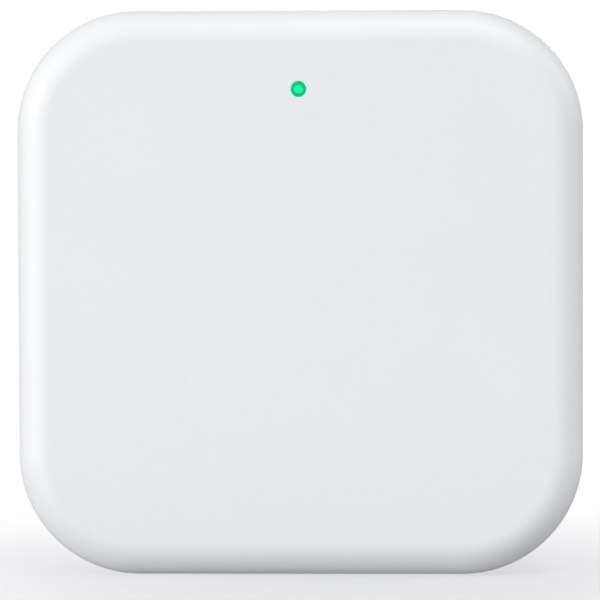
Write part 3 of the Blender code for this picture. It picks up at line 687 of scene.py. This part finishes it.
def rear_profile():
    """(inset, z) from the inner floor, over the lip and the rim, and round to the rear face."""
    soft = 0.2 * MM
    over_lip = arc((LIP_IN - soft, LIP_TOP_Z - soft), soft, 0, 90, 3)
    over_lip += arc((LIP_OUT + soft, LIP_TOP_Z - soft), soft, 90, 180, 3)
    rim = arc((RIM_R, REAR_RIM_Z - RIM_R), RIM_R, 90, 180, SMALL_STEPS)
    edge_z = REAR_FACE_Z + REAR_EDGE_R
    outer = arc((REAR_EDGE_R, edge_z), REAR_EDGE_R, 180, 270, EDGE_STEPS)
    steps_down = [(LIP_OUT, LIP_STEP_Z), (WALL, LIP_STEP_Z), (WALL, REAR_RIM_Z)]
    return [(LIP_IN, FLOOR_Z)] + over_lip + steps_down + rim + outer


def rear_hole(at, inside, mouth):
    """Turned from points inside the case, out through a rounded mouth in the rear face."""
    outside_z = REAR_FACE_Z - PAST
    return lathe(inside + mouth + [(mouth[-1][0], outside_z), (0, outside_z)], at)


def screw_well(at):
    """A well for a case screw's head, with a clear hole for its shank beyond."""
    well_r = 2.4 * MM
    well_z = 3.5 * MM
    hole_z = 6 * MM
    round_r = 0.3 * MM
    mouth = arc((well_r + round_r, REAR_FACE_Z + round_r), round_r, 180, 260, SMALL_STEPS)
    inside = [(0, hole_z), (SCREW_HOLE_R, hole_z), (SCREW_HOLE_R, well_z), (well_r, well_z)]
    return rear_hole(at, inside, mouth)


def foot_seat(at):
    """A shallow round seat that a rubber foot is glued into."""
    seat_r = 3.95 * MM
    seat_z = 1.5 * MM
    round_r = 0.12 * MM
    mouth = arc((seat_r + round_r, REAR_FACE_Z + round_r), round_r, 180, 255, 3)
    return rear_hole(at, [(0, seat_z), (seat_r, seat_z)], mouth)


def key_hole(at):
    """The hole for the reset key, opening like a dish."""
    hole_r = 2.7 * MM
    top_z = 4.6 * MM
    dish_w = 1.0 * MM
    round_r = 0.25 * MM
    dish = arc((hole_r + round_r, REAR_FACE_Z + dish_w), round_r, 180, 225, 3)
    rim = arc((hole_r + dish_w, REAR_FACE_Z + round_r), round_r, 225, 260, 3)
    return rear_hole(at, [(0, top_z), (hole_r, top_z)], dish + rim)


def rear_vents(rear):
    """A row of slots through the rear."""
    width = 1.4 * MM
    length = 8 * MM
    pitch = 3.2 * MM
    row_y = 18.5 * MM
    mouth_r = 0.25 * MM
    vents = []
    for i in range(-4, 5):
        vent = flared_cutter(width, length, width / 2, WALL + PAST, mouth_r, 8)
        vents.append(moved(vent, Matrix.Translation((i * pitch, row_y, 0)) @ rear))
    return vents


def rear_cuts():
    """The cutters of the rear cover, and the notch in its lip that the socket passes through."""
    rear = Matrix.Translation((0, 0, REAR_FACE_Z)) @ TURNED_OVER
    pilot_r = 1.15 * MM
    pilot_low_z = 3.8 * MM
    pilot_high_z = 9.4 * MM
    cutters = []
    for i in CORNERS:
        cutters.append(screw_well(on_bench(f"case_screw_{i}")))
        cutters.append(foot_seat(on_bench(f"rubber_foot_{i}")))
        screw = on_bench(f"board_screw_{i}")
        cutters.append(post(screw, pilot_r, pilot_low_z, pilot_high_z, 32))
    label = on_bench("blank_label")
    seat = flared_cutter(34.4 * MM, 20.4 * MM, 1.5 * MM, 0.45 * MM, 0.12 * MM)
    cutters.append(moved(seat, Matrix.Translation((label.x, label.y, 0)) @ rear))
    cutters += rear_vents(rear)
    cutters.append(key_hole(on_bench("reset_button")))
    cutters.append(port_cutter())
    notch_low_z = 4.74 * MM
    notch_h = LIP_TOP_Z + PAST - notch_low_z
    notch = block((0, 31.65 * MM, notch_low_z + notch_h / 2), (10.94 * MM, 2.5 * MM, notch_h))
    return merged(cutters), notch


def rear_shell(look):
    shell = case_skin(rear_profile())
    low_z = FLOOR_Z - OVERLAP
    well_wall_r = 3.9 * MM
    well_wall_z = 5 * MM
    standoff_r = 2.4 * MM
    key_collar_r = 4 * MM
    key_collar_z = 3.6 * MM
    raised = []
    for i in CORNERS:
        s = on_bench(f"case_screw_{i}")
        raised.append(post(s, well_wall_r, low_z, well_wall_z))
        screw = on_bench(f"board_screw_{i}")
        raised.append(post(screw, standoff_r, low_z, BOARD_REAR_Z, 32))
    key = on_bench("reset_button")
    raised.append(post(key, key_collar_r, low_z, key_collar_z))
    cutters, notch = rear_cuts()
    steps = [("UNION", merged(raised)), ("DIFFERENCE", cutters), ("DIFFERENCE", notch)]
    piece("rear_shell", shell, look, ["rear_cover"], steps=steps)


# -------- what shows on the outside


def rubber_pads(look):
    """Turned feet with a soft rim and a shallow suction ring."""
    foot_r = 3.75 * MM
    top_z = 1.35 * MM
    rim_r = 0.4 * MM
    groove_z = 0.1 * MM
    rim = arc((foot_r - rim_r, rim_r), rim_r, 0, -90, 8)
    groove = [(2.55 * MM, 0), (2.5 * MM, groove_z), (2.2 * MM, groove_z), (2.15 * MM, 0)]
    points = [(0, top_z), (foot_r, top_z)] + rim + groove + [(0, 0)]
    for i in CORNERS:
        node = f"rubber_foot_{i}"
        piece(f"rubber_pad_{i}", lathe(points, on_bench(node)), look, [node])


def label_plate():
    middle = on_bench("blank_label")
    width = 34 * MM
    height = 20 * MM
    corner_r = 1.3 * MM
    half_t = 0.15 * MM
    soft = 0.06 * MM
    profile = slab_profile(middle.z - half_t, middle.z + half_t, soft, soft, 3, 3)
    shape = slab(width, height, corner_r, profile, 8, at=middle)
    look = label_look(STAND @ middle, width, height)
    piece("label_plate", shape, look, ["blank_label"])


def screw_shape(head_r, head_h, crest_r, shank_l, pitch):
    """A threaded pan-head screw, head up, with the underside of its head at z = 0."""
    sides = 40
    levels_per_turn = 8
    core_r = 0.74 * crest_r
    rings = []
    levels = int(shank_l / pitch * levels_per_turn)
    for k in range(levels + 1):
        z = -shank_l + shank_l * k / levels
        taper = min(1.0, 0.35 + 0.65 * (z + shank_l) / (2 * pitch))
        faded = min(1.0, -z / (0.8 * pitch))
        ring = []
        for i, (x, y) in enumerate(spokes(sides)):
            turn = (z / pitch - i / sides) % 1.0
            crest = max(0.0, 1 - abs(turn - 0.5) * 3.4)
            radius = (core_r + (crest_r - core_r) * crest * faded) * taper
            ring.append((radius * x, radius * y, z))
        rings.append(ring)
    round_r = 0.55 * head_h
    under_r = 0.1 * head_h
    head = [(crest_r, 0)] + arc((head_r - under_r, under_r), under_r, 270, 360, 2)
    head += arc((head_r - round_r, head_h - round_r), round_r, 0, 78, 8)
    head += [(0.6 * (head_r - round_r), head_h - 0.01 * head_h), (0.3 * head_r, head_h)]
    for radius, z in head:
        rings.append([(radius * x, radius * y, z) for x, y in spokes(sides)])
    return loft(rings)


def cross_cutter(head_r, head_h):
    """A cross recess whose arms draw in as they go down."""
    rings = []
    depth = 0.66 * head_h
    # Height, then the arms' reach and half width as shares of the head's radius
    for z, reach, half in (
        (head_h - depth, 0.20, 0.08),
        (head_h - 0.75 * depth, 0.33, 0.12),
        (head_h, 0.60, 0.145),
        (head_h + PAST, 0.60, 0.145),
    ):
        a = reach * head_r
        b = half * head_r
        quarter = [(a, b), (b, b), (b, a)]
        ring = []
        for _ in range(4):
            ring += [(x, y, z) for x, y in quarter]
            quarter = [(-y, x) for x, y in quarter]
        rings.append(ring)
    return loft(rings)


def fasteners(look):
    """The case screws, driven in from the rear, and the board screws, driven in from the front."""
    upright = Matrix.Identity(4)
    # Name, where the head bears, which way up, twist in degrees at first and a step on, the radius
    # and height of the head, and the crest radius, length and pitch of the shank
    kinds = (
        ("case", 3.4 * MM, TURNED_OVER, 17, 23, (2.1 * MM, 1.4 * MM), (1.05 * MM, 9 * MM, 0.95 * MM)),
        ("board", 10.1 * MM, upright, 0, 31, (1.9 * MM, 1.3 * MM), (1 * MM, 5.5 * MM, 0.85 * MM)),
    )
    for i in CORNERS:
        for kind, seat_z, way_up, first, step, head, shank in kinds:
            node = f"{kind}_screw_{i}"
            at = on_bench(node)
            twist = Matrix.Rotation(math.radians(first + step * i), 4, "Z")
            place = Matrix.Translation((at.x, at.y, seat_z)) @ way_up @ twist
            shape = moved(screw_shape(*head, *shank), place)
            steps = [("DIFFERENCE", moved(cross_cutter(*head), place))]
            piece(f"{kind}_fastener_{i}", shape, look, [node], steps=steps)


def light_guide(look):
    """A slightly domed tip in the face, a stem, a collar that it is held by, and an end at the LED."""
    at = on_bench("light_pipe")
    tip_r = 0.95 * MM
    tip_z = DEPTH - 0.05 * MM
    dome_h = 0.25 * MM
    stem_r = 1.5 * MM
    shoulder_z = 23.7 * MM
    collar_r = 2.2 * MM
    collar_high_z = 16.7 * MM
    collar_low_z = 15.7 * MM
    end_z = 11.3 * MM
    dome_r = (tip_r * tip_r + dome_h * dome_h) / (2 * dome_h)
    spread = math.degrees(math.asin(tip_r / dome_r))
    points = arc((0, tip_z - dome_r), dome_r, 90, 90 - spread, 8)
    points[-1] = (tip_r, tip_z - dome_h)
    points += [(tip_r, shoulder_z), (1.42 * MM, shoulder_z), (stem_r, shoulder_z - EDGE_BREAK)]
    points += [(stem_r, collar_high_z)] + collar(collar_r, collar_high_z, collar_low_z)
    points += [(stem_r, collar_low_z), (stem_r, end_z + EDGE_BREAK)]
    points += [(stem_r - EDGE_BREAK, end_z), (0, end_z)]
    piece("light_guide", lathe(points, at), look, ["light_pipe"])


def key_cap(look):
    """The reset key: a dished tip that a fingertip finds, a stem, a flange and a nub."""
    at = on_bench("reset_button")
    nub_r = 1.2 * MM
    nub_z = 5.2 * MM
    flange_r = 3.5 * MM
    flange_high_z = 4.8 * MM
    flange_low_z = 3.9 * MM
    stem_r = 2.4 * MM
    tip_z = 1.2 * MM
    round_r = 0.5 * MM
    points = [(0, nub_z), (nub_r - EDGE_BREAK, nub_z), (nub_r, nub_z - EDGE_BREAK), (nub_r, flange_high_z)]
    points += collar(flange_r, flange_high_z, flange_low_z)
    points += [(stem_r, flange_low_z)] + arc((stem_r - round_r, tip_z + round_r), round_r, 0, -90, 8)
    dish_r = 4.2 * MM
    dish_w = 1.6 * MM
    reach = math.degrees(math.asin(dish_w / dish_r))
    dish_deep = dish_r - math.sqrt(dish_r * dish_r - dish_w * dish_w)
    points += arc((0, tip_z + dish_deep - dish_r), dish_r, 90 - reach, 90, 8)
    piece("key_cap", lathe(points, at), look, ["reset_button"], body="reset_key")


def socket_pads(port_z):
    """Twelve contacts on each face of the tongue."""
    pad_w = 0.27 * MM
    pad_l = 3.4 * MM
    pads_y = 31.6 * MM
    pitch = 0.5 * MM
    low = 0.345 * MM
    high = 0.385 * MM
    pads = []
    for row in (-1, 1):
        for i in range(12):
            pad = outline(pad_w, pad_l, 0.06 * MM, 0, 2)
            sunk = [(x, y, row * low) for x, y, _ in pad]
            proud = [(x * 0.85, y * 0.98, row * high) for x, y, _ in pad]
            place = Matrix.Translation(((i - 5.5) * pitch, pads_y, port_z))
            pads.append(moved(loft([sunk, proud]), place))
    return pads


def usb_socket(steel, black, gold):
    """The steel shell with its soldered tabs, the moulded tongue and its contacts."""
    port_z = port_height()
    mouth_y = HALF_SIDE - 0.5 * MM
    length = 7.3 * MM
    width = 8.94 * MM
    height = 3.26 * MM
    thick = 0.3 * MM
    turn = Matrix.Translation((0, mouth_y, port_z)) @ TOWARDS_TOP
    soft = 0.12 * MM
    profile = [(0, -length)] + arc((soft, -soft), soft, 180, 90, 4)
    profile += arc((thick - soft, -soft), soft, 90, 0, 4) + [(thick, -length)]
    shell = moved(slab(width, height, height / 2, profile, 16, tube=True), turn)
    tabs = []
    tab_h = BOARD_REAR_Z - port_z
    for x in (-4.37 * MM, 4.37 * MM):
        for y in (30.1 * MM, 28 * MM):
            tabs.append(block((x, y, port_z + tab_h / 2), (0.5 * MM, 1.2 * MM, tab_h)))
    steps = [("UNION", merged(tabs))]
    piece("socket_shell", shell, steel, ["usb_shell"], steps=steps)

    gap = 0.35 * MM
    broken = gap + EDGE_BREAK
    front_z = -5.7 * MM
    profile = [(broken, -length), (gap, EDGE_BREAK - length)]
    profile += [(gap, front_z - EDGE_BREAK), (broken, front_z)]
    back = moved(slab(width, height, height / 2, profile, 12), turn)
    blade_r = 0.14 * MM
    profile = [(0, -6.1 * MM), (0, -1.0 * MM), (0.06 * MM, -0.86 * MM), (0.2 * MM, -0.8 * MM)]
    blade = moved(slab(6.69 * MM, 0.7 * MM, blade_r, profile, 3, blade_r), turn)
    piece("socket_tongue", back, black, ["usb_tongue"], steps=[("UNION", blade)])
    piece("socket_contacts", merged(socket_pads(port_z)), gold)


# -------- pieces inside the case


def soft_slab(node, corner_r, rim_r):
    """A slab that fills a CAD node's box, with its edges rounded."""
    low, high, middle, size = bench_box(node)
    profile = slab_profile(low.z, high.z, 0.05 * MM, rim_r, 2, 5)
    return slab(size.x, size.y, corner_r, profile, 6, 0.03 * MM, middle)


def capacitor_can(node):
    """A rolled can with a beaded neck, and the cutters of its scored vent cross."""
    low, high, at, size = bench_box(node)
    can_r = size.x / 2
    edge_r = 0.3 * MM
    curl_r = 0.15 * MM
    bead_r = 0.36 * MM
    bead_out = 0.1 * MM
    bead_z = low.z + 0.8 * MM
    top_z = high.z - 0.06 * MM
    curl = arc((can_r - curl_r, low.z + curl_r), curl_r, 270, 360, 4)
    bead = arc((can_r + bead_out, bead_z), bead_r, 254, 106, 10)
    crown = arc((can_r - edge_r, high.z - edge_r), edge_r, 0, 90, 8)
    points = [(0, low.z)] + curl + [(min(r, can_r), z) for r, z in bead] + crown
    points += [(can_r - 0.5 * MM, top_z), (0, top_z)]
    long = 1.5 * can_r
    wide = 0.12 * MM
    deep = 0.26 * MM
    scores = [block((at.x, at.y, high.z), size) for size in ((long, wide, deep), (wide, long, deep))]
    return lathe(points, at), scores


def capacitor_base(node):
    """A moulded square base with its corners cut off."""
    low, high, middle, size = bench_box(node)
    soft = 0.08 * MM
    cut = 0.8 * MM
    rings = []
    for inset, z in slab_profile(low.z, high.z, soft, soft, 2, 3):
        x = size.x / 2 - inset
        y = size.y / 2 - inset
        half = [(x, y - cut), (x - cut, y), (cut - x, y), (-x, y - cut)]
        corners = half + [(-a, -b) for a, b in half]
        rings.append([(middle.x + a, middle.y + b, z) for a, b in corners])
    return loft(rings)


def capacitors(aluminium, black):
    for name in ("input", "output"):
        can_node = f"{name}_capacitor_can"
        can, scores = capacitor_can(can_node)
        steps = [("DIFFERENCE", score) for score in scores]
        piece(f"{name}_can", can, aluminium, [can_node], steps=steps)
        base_node = f"{name}_capacitor_base"
        piece(f"{name}_can_base", capacitor_base(base_node), black, [base_node])


def shield_cans(look):
    """Drawn steel cans with rows of round vents in the top."""
    wall = 0.25 * MM
    edge_r = 0.35 * MM
    corner_r = 0.6 * MM
    least_r = 0.06 * MM
    vent_r = 0.45 * MM
    pitch = 2.4 * MM
    for name, columns, rows in (("wifi", 5, 4), ("radio", 3, 3)):
        low, high, middle, size = bench_box(f"{name}_shield")
        bend_z = high.z - edge_r
        profile = arc((edge_r, bend_z), edge_r - wall, 90, 180, 3)
        profile += [(wall, low.z), (0, low.z)] + arc((edge_r, bend_z), edge_r, 180, 90, 6)
        shape = slab(size.x, size.y, corner_r, profile, 6, least_r, middle)
        vents = []
        for i in range(columns):
            for j in range(rows):
                x = middle.x + (i - (columns - 1) / 2) * pitch
                y = middle.y + (j - (rows - 1) / 2) * pitch
                vents.append(post((x, y), vent_r, high.z - PAST, high.z + PAST, 24))
        steps = [("DIFFERENCE", merged(vents))]
        piece(f"{name}_can", shape, look, [f"{name}_shield"], steps=steps)


def lead(at, side, along_x, low_z, out, width):
    """A gull-wing lead: out of the body, down and along the board."""
    body_z = low_z + 0.5 * MM
    thick = 0.13 * MM
    # How far out, how high, and how far the upper face leans out
    path = [
        (-0.05 * MM, body_z, 0),
        (0.22 * out, body_z, 0),
        (0.5 * out, low_z + thick, 0.05 * MM),
        (out, low_z, 0),
    ]
    rings = []
    for reach, z, lean in path:
        ring = []
        for dz, dw in ((0, -0.5), (0, 0.5), (thick, 0.5), (thick, -0.5)):
            a = side * (reach + (lean if dz else 0))
            x, y = (a, dw * width) if along_x else (dw * width, a)
            ring.append((at[0] + x, at[1] + y, z + dz))
        rings.append(ring)
    return loft(rings)


def chips(epoxy, steel, ferrite, ceramic):
    """Slab-shaped parts with soft rims, and the leads of the two chips that have them."""
    # Piece, CAD node, corner and rim radius in mm, look, slot
    slabs = (
        ("memory_package", "memory_chip", 0.12, 0.10, epoxy, "black_epoxy"),
        ("regulator_package", "regulator_chip", 0.12, 0.10, epoxy, "black_epoxy"),
        ("diode_package", "surge_diode", 0.15, 0.12, epoxy, "black_epoxy"),
        ("crystal_can", "clock_crystal", 0.50, 0.15, steel, "tinned_steel"),
        ("fuse_body", "input_fuse", 0.10, 0.08, ceramic, "ceramic"),
        ("antenna_body", "chip_antenna", 0.10, 0.08, ceramic, "ceramic"),
        ("inductor_body", "power_inductor", 1.00, 0.35, ferrite, "ferrite"),
    )
    for name, node, corner_r, rim_r, look, slot in slabs:
        piece(name, soft_slab(node, corner_r * MM, rim_r * MM), look, [node])
    leads = []
    # CAD node, whether its leads point along x, leads a side, pitch, width, how far out
    for node, along_x, count, pitch, width, out in (
        ("memory_chip", False, 4, 1.27 * MM, 0.42 * MM, 0.95 * MM),
        ("regulator_chip", True, 3, 0.95 * MM, 0.36 * MM, 0.6 * MM),
    ):
        low, _, middle, size = bench_box(node)
        half = size / 2
        for side in (-1, 1):
            for i in range(count):
                along = (i - (count - 1) / 2) * pitch
                if along_x:
                    at = (middle.x + side * half.x, middle.y + along)
                else:
                    at = (middle.x + along, middle.y + side * half.y)
                leads.append(lead(at, side, along_x, low.z, out, width))
    piece("chip_leads", merged(leads), steel)


def printed_antenna(look):
    """The zigzag antenna on the bare end of the Wi-Fi module's board."""
    turns = 10
    pitch = 1.4 * MM
    start_x = -14.2 * MM
    near_x = -15.3 * MM
    far_x = -19.8 * MM
    low_y = -16.1 * MM
    half = 0.2 * MM
    thick = 0.035 * MM
    path = [(start_x, low_y)]
    for i in range(turns):
        end_x = near_x if i % 2 else far_x
        path.append((end_x, low_y + i * pitch))
        if i < turns - 1:
            path.append((end_x, low_y + (i + 1) * pitch))
    left = []
    right = []
    for i, (x, y) in enumerate(path):
        aside = Vector((0, 0))
        for a, b in ((i - 1, i), (i, i + 1)):
            if a < 0 or b >= len(path):
                continue
            along = (Vector(path[b]) - Vector(path[a])).normalized()
            aside += Vector((-along.y, along.x))
        left.append((x + aside.x * half, y + aside.y * half))
        right.append((x - aside.x * half, y - aside.y * half))
    low_z = bench_box("wifi_board")[1].z
    rings = [[(x, y, z) for x, y in left + right[::-1]] for z in (low_z, low_z + thick)]
    piece("wifi_antenna", loft(rings), look)


def small_part_places():
    """(x, y, whether it lies along x) of each, in rows round the chips."""
    column_pitch = 1.6
    row_pitch = 1.5
    places = []
    # First place in mm, columns, rows, whether they lie along x
    for x, y, columns, rows, along_x in (
        (-14, 12.6, 5, 1, False),
        (-16.5, 1.6, 4, 1, False),
        (2.4, 8.8, 3, 1, True),
        (-1.5, 18.4, 4, 1, False),
        (8.4, 14.5, 1, 3, True),
        (-16, -22.5, 4, 2, False),
        (-2, -22.5, 3, 2, True),
        (10, 27.2, 3, 1, False),
    ):
        for i in range(columns):
            for j in range(rows):
                places.append(((x + i * column_pitch) * MM, (y - j * row_pitch) * MM, along_x))
    return places


def small_parts(ceramic, steel):
    """Tiny resistors and capacitors soldered to the board: bodies, and their tinned ends."""
    low_z = bench_box("memory_chip")[0].z
    body_l = 0.62 * MM
    body_w = 0.5 * MM
    body_r = 0.05 * MM
    body_profile = ((0, low_z + 0.02 * MM), (0, low_z + 0.42 * MM))
    end_l = 0.2 * MM
    end_w = 0.54 * MM
    end_out = 0.42 * MM
    end_r = 0.04 * MM
    end_profile = ((0, low_z), (0, low_z + 0.4 * MM), (0.04 * MM, low_z + 0.44 * MM))
    bodies = []
    ends = []
    for x, y, along_x in small_part_places():
        width, height = (body_l, body_w) if along_x else (body_w, body_l)
        bodies.append(slab(width, height, body_r, body_profile, 2, at=(x, y)))
        width, height = (end_l, end_w) if along_x else (end_w, end_l)
        for side in (-1, 1):
            shift = side * end_out
            at = (x + shift, y) if along_x else (x, y + shift)
            ends.append(slab(width, height, end_r, end_profile, 2, end_r, at))
    piece("small_part_bodies", merged(bodies), ceramic)
    piece("small_part_ends", merged(ends), steel)


# -------- materials of the carried-over nodes


def repaint(look, *names):
    for name in names:
        for slot in NODES[name].material_slots:
            slot.material = look


white = moulded_plastic("spark_white_rear", WHITE, 0.46)[0].material
grey = moulded_plastic("spark_grey_abs", (0.47, 0.48, 0.50), 0.44, 0.25 * MM)[0].material
rubber = rubber_look()
zinc = zinc_look()
epoxy = epoxy_look()
steel = brushed_metal("tin_plate", (0.74, 0.74, 0.73), 0.32)
aluminium = brushed_metal("rolled_aluminium", (0.82, 0.82, 0.84), 0.3, (1, 0.06, 1))
bronze = brushed_metal("phosphor_bronze", (0.78, 0.6, 0.33), 0.3, (0.1, 1, 1), tarnish=(0.4, 0.25, 0.12))
gold = brushed_metal("gold_plate", (0.95, 0.72, 0.3), 0.24, (1, 1, 0.1), tarnish=(0.7, 0.45, 0.15))
green_board = board_look("green_solder_mask", (0.010, 0.085, 0.034), (0.028, 0.19, 0.075), 0.38)
black_board = board_look("black_solder_mask", (0.012, 0.012, 0.015), (0.04, 0.04, 0.048), 0.42)
ferrite = grain_look("pressed_ferrite", (0.05, 0.05, 0.055), (0.1, 0.1, 0.105), 0.6, 0.12 * MM, 0.03 * MM)
ceramic = grain_look("fired_ceramic", (0.62, 0.59, 0.52), (0.8, 0.77, 0.7), 0.5, 0.08 * MM, 0.01 * MM)
brown = (0.16, 0.11, 0.075)
ceramic_dark = grain_look("capacitor_ceramic", brown, (0.3, 0.21, 0.14), 0.5, 0.1 * MM, 0.01 * MM)

front_shell(front_plastic())
rear_shell(white)
rubber_pads(rubber)
label_plate()
fasteners(zinc)
light_guide(light_pipe_look())
key_cap(grey)
usb_socket(steel, epoxy, gold)
capacitors(aluminium, epoxy)
shield_cans(steel)
chips(epoxy, steel, ferrite, ceramic)
small_parts(ceramic_dark, steel)
printed_antenna(gold)

repaint(foam_look(), "light_baffle")
repaint(led_look(), "status_led")
repaint(green_board, "main_board")
repaint(black_board, "wifi_board", "radio_board")
repaint(steel, "switch_contact_1", "switch_contact_2", "switch_plate")
repaint(epoxy, "wifi_chip", "radio_chip", "switch_base", "switch_plunger")
repaint(bronze, "switch_dome")


# -------- floor, light and camera


COOL_WHITE = (0.985, 0.993, 1.0)
PLAIN_WHITE = (1, 1, 1)


def floor():
    """A pale floor that fades into the white surround, with a painted shadow: greyest just in front of the
    hub and a little to its right.
    """
    bm = bmesh.new()
    bmesh.ops.create_circle(bm, cap_ends=True, segments=96, radius=0.3)
    made = scene_object("floor", bm)
    look = Look("pale_floor", (0.45, 0.455, 0.475), 0.9)
    grain = look.noise(3 * MM, 3)
    look.into("Base Color", look.mixed(grain, (0.44, 0.45, 0.485), (0.45, 0.46, 0.495)))
    look.into("Roughness", look.spread(grain, 0.88, 0.94))
    # Painted shadow: nearer this point, a little in front of the hub and to its right, the floor is less
    # clear and its clear part is tinted grey.
    painted_shadow_at = (8 * MM, -12 * MM, 0)
    gone_at = 106 * MM
    # Where less of the floor than this is clear, the denoiser takes it for solid and draws a line there
    least_clear = 0.64
    aside = look.vector("SUBTRACT", look.place, painted_shadow_at)[0]
    off = look.vector("LENGTH", aside)["Value"]
    fade = look.spread(off, 0, 1, 0, gone_at, smooth=True)
    share = look.spread(fade, least_clear, 1)
    tint = look.mixed(fade, (0.925, 0.925, 0.94), (1, 1, 1))
    clear = look.add("ShaderNodeBsdfTransparent", {"Color": tint}).outputs[0]
    both = look.add("ShaderNodeMixShader", {0: share, 1: look.shader.outputs[0], 2: clear})
    out = look.tree.nodes["Material Output"]
    look.tree.links.new(both.outputs[0], out.inputs["Surface"])
    made.data.materials.append(look.material)


def surround():
    """White to the eye, and an even fill light on everything else."""
    world = bpy.data.worlds.new("studio")
    world.use_nodes = True
    bpy.context.scene.world = world
    tree = world.node_tree
    seen = tree.nodes["Background"]
    fill = tree.nodes.new("ShaderNodeBackground")
    for node, colour, strength in ((seen, PLAIN_WHITE, 1.02), (fill, (1, 0.995, 0.985), 0.352)):
        node.inputs["Color"].default_value = (*colour, 1)
        node.inputs["Strength"].default_value = strength
    mix = tree.nodes.new("ShaderNodeMixShader")
    ray = tree.nodes.new("ShaderNodeLightPath")
    tree.links.new(ray.outputs["Is Camera Ray"], mix.inputs[0])
    tree.links.new(fill.outputs[0], mix.inputs[1])
    tree.links.new(seen.outputs[0], mix.inputs[2])
    tree.links.new(mix.outputs[0], tree.nodes["World Output"].inputs["Surface"])


def softbox(name, azimuth, elevation, power, colour):
    """A soft lamp aimed at the hub. Azimuth 0 is the camera's side, and minus is to its left."""
    lamp = bpy.data.lights.new(name, "AREA")
    lamp.shape = "DISK"
    lamp.size = 1.0
    lamp.energy = power
    lamp.color = colour
    made = linked(name, lamp)
    a = math.radians(azimuth)
    e = math.radians(elevation)
    towards = Vector((math.sin(a) * math.cos(e), -math.cos(a) * math.cos(e), math.sin(e)))
    distance = 2.0
    made.location = Vector((0, 0, HALF_SIDE)) + towards * distance
    made.rotation_euler = towards.to_track_quat("Z", "Y").to_euler()


def camera():
    """Half a metre from the face, a little to the right and above, as the photo's view says."""
    pan = math.radians(1.98)
    tilt = math.radians(-2.92)
    roll = math.radians(0.17)
    made = linked("camera", bpy.data.cameras.new("camera"))
    distance = 0.5
    made.location = (17.4 * MM, CAD_BOX[0].y - distance, HALF_SIDE + 24.8 * MM)
    turn = Matrix.Rotation(pan, 3, "Z") @ Matrix.Rotation(tilt, 3, "X") @ Matrix.Rotation(roll, 3, "Y")
    made.rotation_euler = (turn @ Matrix.Rotation(math.radians(90), 3, "X")).to_euler()
    made.data.sensor_width = 36
    made.data.lens = 244.3
    made.data.clip_start = 0.01
    bpy.context.scene.camera = made


bpy.context.scene.view_settings.view_transform = "Standard"
floor()
surround()
for lamp in (
    ("left_key", -60, 12, 20.8, COOL_WHITE),
    ("left_side", -108, 12, 3.2, COOL_WHITE),
    ("low_left_fill", -30, -5, 8.4, PLAIN_WHITE),
    ("low_right_fill", 30, -5, 5.6, PLAIN_WHITE),
    ("right_rim", 90, 32, 10.3, PLAIN_WHITE),
    ("top", 30, 60, 12.0, COOL_WHITE),
    ("back", 180, 10, 20.0, PLAIN_WHITE),
):
    softbox(*lamp)
camera()
